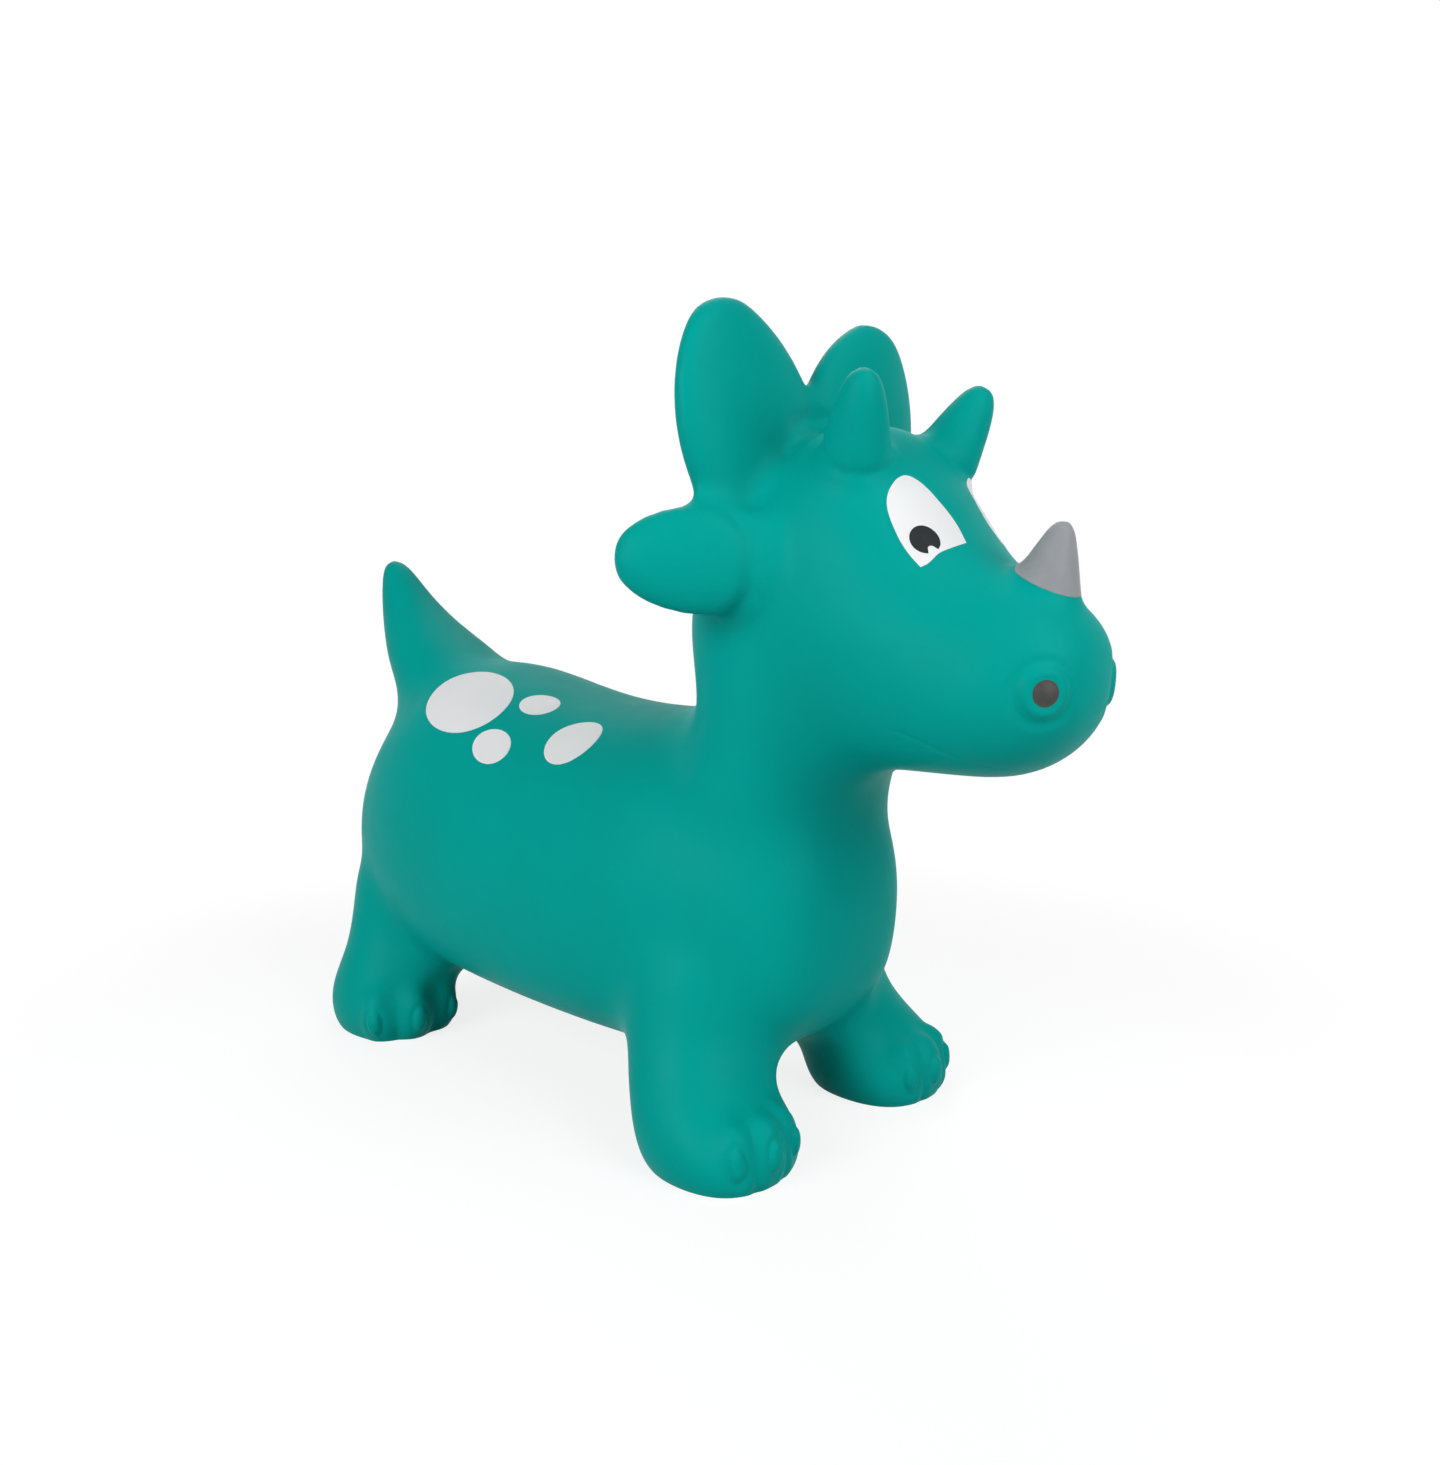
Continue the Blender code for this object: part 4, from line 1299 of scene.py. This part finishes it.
@dataclass(frozen=True)
class Mark:
    """A coat of paint inside an outline that is projected on the skin."""

    name: str
    node: str
    slot: Slot
    frame: Matrix
    rise: float = 0.00014
    rings: int = 12
    standoff: float = 0.040

    def lay(self, outline: Mesh, skin: Mesh) -> Mesh:
        """Fill an outline with rings, lay it on the skin and dress it.

        Args:
            outline: A closed line in the mark's own plane, round its middle.
            skin: The finished skin.

        Returns:
            The coat.
        """
        outline.name = self.name
        with edit_mode(outline):
            for step in range(self.rings, 1, -1):
                bpy.ops.mesh.extrude_edges_move()
                ratio = (step - 1) / step
                bpy.ops.transform.resize(value=(ratio, ratio, 1), center_override=(0, 0, 0))
            bpy.ops.mesh.merge(type="CENTER")
            bpy.ops.mesh.select_all(action="SELECT")
            bpy.ops.mesh.normals_make_consistent(inside=False)
        outline.matrix_world = self.frame @ Matrix.Translation((0, 0, self.standoff))
        bpy.context.view_layer.update()
        add_step(outline, "SHRINKWRAP", wrap_method="PROJECT", use_project_z=True,
                 use_negative_direction=True, use_positive_direction=False, target=skin, offset=0)
        apply_modifiers(outline)
        settle(outline, outline.matrix_world.copy())
        self.face_out(outline)
        thicken(outline, self.rise)
        return dress(clean(outline), "animal", self.slot, self.node)

    def face_out(self, patch: Mesh) -> None:
        """Turn a patch's faces the way that the mark looks.

        Args:
            patch: The patch.
        """
        out = self.frame.to_3x3().col[2]
        total = sum((face.normal * face.area for face in patch.data.polygons), Vector())
        if total.dot(out) < 0:
            with edit_mode(patch):
                bpy.ops.mesh.flip_normals()


def circle_line(radius: float, points: int = 96) -> Mesh:
    """Model a circle's line round the origin.

    Args:
        radius: The circle's radius.
        points: How many points it has.

    Returns:
        The line.
    """
    deselect_all()
    bpy.ops.mesh.primitive_circle_add(vertices=points, radius=radius)
    return bpy.context.object


@dataclass(frozen=True)
class Spot:
    """One pale spot: its place, the way it faces and its tilt, its size and how it is drawn out."""

    place: Row
    angles: Row
    length: float
    width: float
    draw_out: float = 0.0

    def outline(self, side: Side) -> Mesh:
        """Model the spot's outline: an oval, or an egg where one end is drawn out.

        Args:
            side: The side of the animal.

        Returns:
            The closed line.
        """
        line = circle_line(0.5)
        with edit_mode(line):
            bpy.ops.transform.resize(value=(self.length, self.width, 1), center_override=(0, 0, 0))
            for end in (1, -1) if self.draw_out else ():
                select_places(line, lambda place: place.x * end > 0)
                bpy.ops.transform.resize(value=(1 + end * self.draw_out, 1, 1), center_override=(0, 0, 0))
        tilt = math.radians(self.angles[2])
        turn = tilt if side is Side.RIGHT else math.pi - tilt
        return settle(line, Matrix.Rotation(turn, 4, "Z"))


@dataclass(frozen=True)
class SpotCoats:
    """The spots on both sides of the back."""

    trunk: Trunk
    spots: tuple[Spot, ...] = (
        Spot((0.518, 0.690, 0.990), (87.9, 57.2, -15.0), 0.0835, 0.0615),
        Spot((0.382, 0.551, 0.988), (66.0, 66.8, -19.8), 0.0325, 0.0242),
        Spot((0.728, 0.568, 0.866), (81.3, 43.0, -19.1), 0.0356, 0.0263),
        Spot((0.580, 0.427, 0.904), (81.7, 56.4, 43.2), 0.0419, 0.0377, 0.08),
    )

    def build(self, skin: Mesh) -> None:
        """Lay the spots on the skin.

        Args:
            skin: The finished skin.
        """
        for side in Side:
            for number, spot in enumerate(self.spots, 1):
                across, along, up = spot.place
                turn, lift, _ = spot.angles
                seat = facing_frame(self.trunk.point(side.value * across, along, up),
                                    facing(side, turn, lift))
                mark = Mark(f"spot_coat_{side.word}_{number}", f"back_spot_{side.word}_{number}",
                            Slot.WHITE_PAINT, seat)
                mark.lay(spot.outline(side), skin)


@dataclass(frozen=True)
class EyeCoats:
    """The whites of the eyes and the pupils, each with a notch of light."""

    head: Head
    place: Row = (0.461, 0.613, 0.722)
    left_drift: Row = (0.0135, -0.0015)
    turn: float = 28.3
    lift: float = 36.9
    width: float = 0.041
    height: float = 0.058
    outline: Table = (
        (0.00, 0.51), (-0.14, 0.47), (-0.25, 0.40), (-0.35, 0.30), (-0.40, 0.18), (-0.40, 0.06),
        (-0.37, -0.08), (-0.33, -0.20), (-0.26, -0.33), (-0.165, -0.462), (-0.075, -0.440),
        (0.00, -0.405), (0.12, -0.34), (0.32, -0.28), (0.60, -0.20), (0.57, 0.00), (0.49, 0.15),
        (0.38, 0.28), (0.26, 0.40), (0.13, 0.48),
    )
    corners: tuple[int, ...] = (9, 14)
    curve_steps: int = 5
    pupil_radius: float = 0.0085
    pupil_points: int = 144
    pupil_place: Row = (-0.010, -0.188)
    pupil_rise: float = 0.00030
    glint_place: Row = (0.26, -0.74)
    glint_share: float = 0.28

    def white_outline(self, across: float) -> Mesh:
        """Model the outline of an eye's white with a curve.

        Args:
            across: The eye's width, negative where it runs the other way.

        Returns:
            The closed line.
        """
        deselect_all()
        bpy.ops.curve.primitive_bezier_circle_add(radius=self.width / 2)
        line = bpy.context.object
        bpy.ops.object.mode_set(mode="EDIT")
        bpy.ops.curve.select_all(action="SELECT")
        bpy.ops.curve.subdivide(number_cuts=len(self.outline) // 4 - 1)
        bpy.ops.curve.handle_type_set(type="AUTOMATIC")
        bpy.ops.object.mode_set(mode="OBJECT")
        line.data.resolution_u = self.curve_steps
        knots = line.data.splines[0].bezier_points
        for number, (knot, (x, y)) in enumerate(zip(knots, self.outline)):
            knot.co = (x * across, y * self.height, 0)
            knot.handle_left_type = knot.handle_right_type = "VECTOR" if number in self.corners else "AUTO"
        bpy.ops.object.convert(target="MESH")
        return bpy.context.object

    def pupil_outline(self, toward: float) -> Mesh:
        """Model the outline of a pupil and press the notch of light into it.

        Args:
            toward: The sign of the way to the nose.

        Returns:
            The closed line.
        """
        line = circle_line(self.pupil_radius, self.pupil_points)
        reach = self.glint_share * self.pupil_radius
        middle = Vector((toward * self.glint_place[0], self.glint_place[1])) * self.pupil_radius
        way = math.atan2(middle.y, middle.x)
        with edit_mode(line):
            shape = bmesh.from_edit_mesh(line.data)
            for vertex in list(shape.verts):
                angle = math.atan2(vertex.co.y, vertex.co.x) - way
                angle = math.atan2(math.sin(angle), math.cos(angle))
                off = middle.length * math.sin(abs(angle))
                if off >= reach or abs(angle) > math.pi / 2:
                    continue
                near = middle.length * math.cos(angle) - math.sqrt(reach**2 - off**2)
                inward = vertex.co * (near / self.pupil_radius - 1)
                select_only(line, shape, [vertex])
                bpy.ops.transform.translate(value=inward)
        return line

    def build(self, skin: Mesh) -> None:
        """Lay the eyes on the skin.

        Args:
            skin: The finished skin.
        """
        for side in Side:
            across, along, up = self.place
            seat = facing_frame(self.head.point(side.value * across, along, up),
                                facing(side, self.turn, self.lift))
            if side is Side.LEFT:
                seat = seat @ Matrix.Translation((*self.left_drift, 0))
            toward = -side.value
            white = Mark(f"eye_white_coat_{side.word}", f"eye_white_{side.word}", Slot.WHITE_PAINT, seat)
            white.lay(self.white_outline(toward * self.width), skin)
            x, y = self.pupil_place
            middle = Matrix.Translation((x * toward * self.width, y * self.height, 0))
            pupil = Mark(f"pupil_coat_{side.word}", f"pupil_{side.word}", Slot.BLACK_PAINT,
                         seat @ middle, self.pupil_rise)
            pupil.lay(self.pupil_outline(toward), skin)


@dataclass(frozen=True)
class NostrilCoats:
    """Dark paint on the nostrils' domes."""

    nostril: Nostril
    radius: float = 0.0069

    def build(self, skin: Mesh) -> None:
        """Lay the paint on both domes.

        Args:
            skin: The finished skin.
        """
        for side in Side:
            mark = Mark(f"nostril_coat_{side.word}", f"nostril_{side.word}", Slot.DARK_PAINT,
                        self.nostril.frame(skin, side))
            mark.lay(circle_line(self.radius), skin)


@dataclass(frozen=True)
class NoseHornCoat:
    """Grey paint on the nose horn above its edge."""

    horn: Horn
    edge_share: float = 0.36
    dip: float = 9.0
    reach: float = 0.83
    cuts: int = 32
    rise: float = 0.00015
    middle_share: float = 0.75
    surround: float = 0.040

    def build(self, skin: Mesh) -> Mesh:
        """Copy the skin of the horn, cut it off at the edge and thicken it.

        Args:
            skin: The finished skin.

        Returns:
            The coat.
        """
        make_active(skin)
        bpy.ops.object.duplicate()
        coat = bpy.context.object
        coat.name = "nose_horn_coat"
        coat.parent = None
        axis, base = self.horn.axis, self.horn.base
        line = axis.normalized()
        middle = base + self.middle_share * axis
        square = Matrix.Rotation(math.radians(self.dip), 3, "X") @ line
        with edit_mode(coat):
            select_places(coat, lambda place: (place - middle).length > self.surround)
            bpy.ops.mesh.delete(type="VERT")
            bpy.ops.mesh.select_all(action="SELECT")
            bpy.ops.mesh.bisect(plane_co=base + self.edge_share * axis, plane_no=square, clear_inner=True)
            for step in range(self.cuts):
                away = Matrix.Rotation(2 * math.pi * step / self.cuts, 3, line) @ Vector((1, 0, 0))
                side = base + self.reach * self.horn.radius * away
                bpy.ops.mesh.select_all(action="SELECT")
                bpy.ops.mesh.bisect(plane_co=side, plane_no=away, clear_outer=True)
        thicken(coat, self.rise)
        for key in list(coat.keys()):
            del coat[key]
        return dress(coat, "animal", Slot.GREY_PAINT, "nose_horn")


# The studio


@dataclass(frozen=True)
class SoftBox:
    """A soft lamp that faces the animal."""

    name: str
    place: Row
    watts: float
    size: float = 1.2
    target: Row = (0.0, 0.0, 0.25)

    def build(self) -> None:
        """Hang the lamp."""
        bpy.ops.object.light_add(type="AREA", location=self.place)
        lamp = bpy.context.object
        lamp.name = self.name
        lamp.data.shape = "SQUARE"
        lamp.data.size = self.size
        lamp.data.energy = self.watts
        way = Vector(self.target) - Vector(self.place)
        lamp.rotation_euler = way.to_track_quat("-Z", "Y").to_euler()


@dataclass(frozen=True)
class Studio:
    """The camera, the soft lamps, the floor and the white behind it."""

    camera_place: Row = (-0.608286, -0.611733, 0.365)
    camera_turn: Row = (81.37, 0.0, -47.577)
    lens: float = 31.823
    sensor: float = 36.0
    ambient: float = 0.006
    floor_size: float = 14.0
    floor_colour: Row = (0.55, 0.55, 0.55, 1.0)
    floor_roughness: float = 0.9
    floor_specular: float = 0.1
    floor_reach: Row = (0.40, 1.20)
    glow_share: Row = (0.55, 1.00)
    glow_strength: Row = (1.50, 1.00)
    boxes: tuple[SoftBox, ...] = (
        SoftBox("front_box", (0.0, -1.785, 0.900), 12.2),
        SoftBox("right_box", (-1.785, 0.0, 0.900), 21.8),
        SoftBox("high_front_box", (0.0, -1.221, 1.705), 9.3),
        SoftBox("back_box", (0.864, 0.864, 1.705), 10.5),
    )

    def build(self) -> None:
        """Make the whole studio."""
        self.add_camera()
        for box in self.boxes:
            box.build()
        self.add_world()
        self.add_floor()
        bpy.context.scene.view_settings.view_transform = "Standard"

    def add_camera(self) -> None:
        """Stand the camera where the photograph was taken."""
        turn = tuple(map(math.radians, self.camera_turn))
        bpy.ops.object.camera_add(location=self.camera_place, rotation=turn)
        camera = bpy.context.object
        camera.data.lens = self.lens
        camera.data.sensor_width = self.sensor
        camera.data.sensor_fit = "AUTO"
        bpy.context.scene.camera = camera

    @staticmethod
    def seen(graph: Graph) -> Socket:
        """One for rays that show something to the camera, straight or in a gloss, and nought for light.

        Args:
            graph: The nodes that get it.

        Returns:
            The value.
        """
        path = graph.tree.nodes.new("ShaderNodeLightPath")
        value = path.outputs["Is Camera Ray"]
        for name in ("Is Glossy Ray", "Is Transmission Ray"):
            value = graph.add("Math", "Value", {0: value, 1: path.outputs[name]}, operation="MAXIMUM")
        return value

    def add_world(self) -> None:
        """Light all round a little, and show plain white behind the animal."""
        world = bpy.data.worlds.new("studio")
        bpy.context.scene.world = world
        world.use_nodes = True
        nodes, graph = world.node_tree.nodes, Graph(world.node_tree)
        light = nodes["Background"]
        graph.fill(light, {"Color": WHITE, "Strength": self.ambient})
        white = graph.add("Background", "Background", {"Color": WHITE, "Strength": 1})
        mixed = graph.add("MixShader", "Shader",
                          {"Fac": self.seen(graph), 1: light.outputs["Background"], 2: white})
        graph.fill(nodes["World Output"], {"Surface": mixed})

    def add_floor(self) -> None:
        """Lay a pale floor that the camera sees white, with the animal's soft shadow on it."""
        deselect_all()
        bpy.ops.mesh.primitive_plane_add(size=self.floor_size)
        floor = bpy.context.object
        floor.name = "floor"
        material = bpy.data.materials.new("floor_paper")
        material.use_nodes = True
        nodes, graph = material.node_tree.nodes, Graph(material.node_tree)
        paper = nodes["Principled BSDF"]
        graph.fill(paper, {"Base Color": self.floor_colour, "Roughness": self.floor_roughness,
                           "Specular IOR Level": self.floor_specular})
        glow = graph.add("Emission", "Emission", {"Strength": self.fading(graph, self.glow_strength)})
        share = graph.add("Math", "Value", {0: self.seen(graph), 1: self.fading(graph, self.glow_share)},
                          operation="MULTIPLY")
        mixed = graph.add("MixShader", "Shader", {"Fac": share, 1: paper.outputs["BSDF"], 2: glow})
        graph.fill(nodes["Material Output"], {"Surface": mixed})
        floor.data.materials.append(material)

    def fading(self, graph: Graph, ends: Row) -> Socket:
        """A value that changes with the distance from the middle of the floor.

        Args:
            graph: The nodes that get it.
            ends: The value near the animal and the value far from it.

        Returns:
            The value.
        """
        place = graph.add("TexCoord", "Object", {})
        distance = graph.add("VectorMath", "Value", {0: place}, operation="LENGTH")
        return graph.add_range(distance, self.floor_reach, ends, interpolation_type="SMOOTHSTEP")


def main() -> None:
    """Build the studio, the skin, its coats and the plug."""
    logging.basicConfig(level=logging.INFO, format="%(name)s %(message)s")
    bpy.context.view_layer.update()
    Studio().build()
    skin = Skin()
    body, seat = skin.build()
    skin.plug.build(seat)
    SpotCoats(skin.trunk).build(body)
    EyeCoats(skin.head).build(body)
    NostrilCoats(skin.nostril).build(body)
    NoseHornCoat(skin.nose_horn).build(body)


if __name__ == "__main__":
    main()
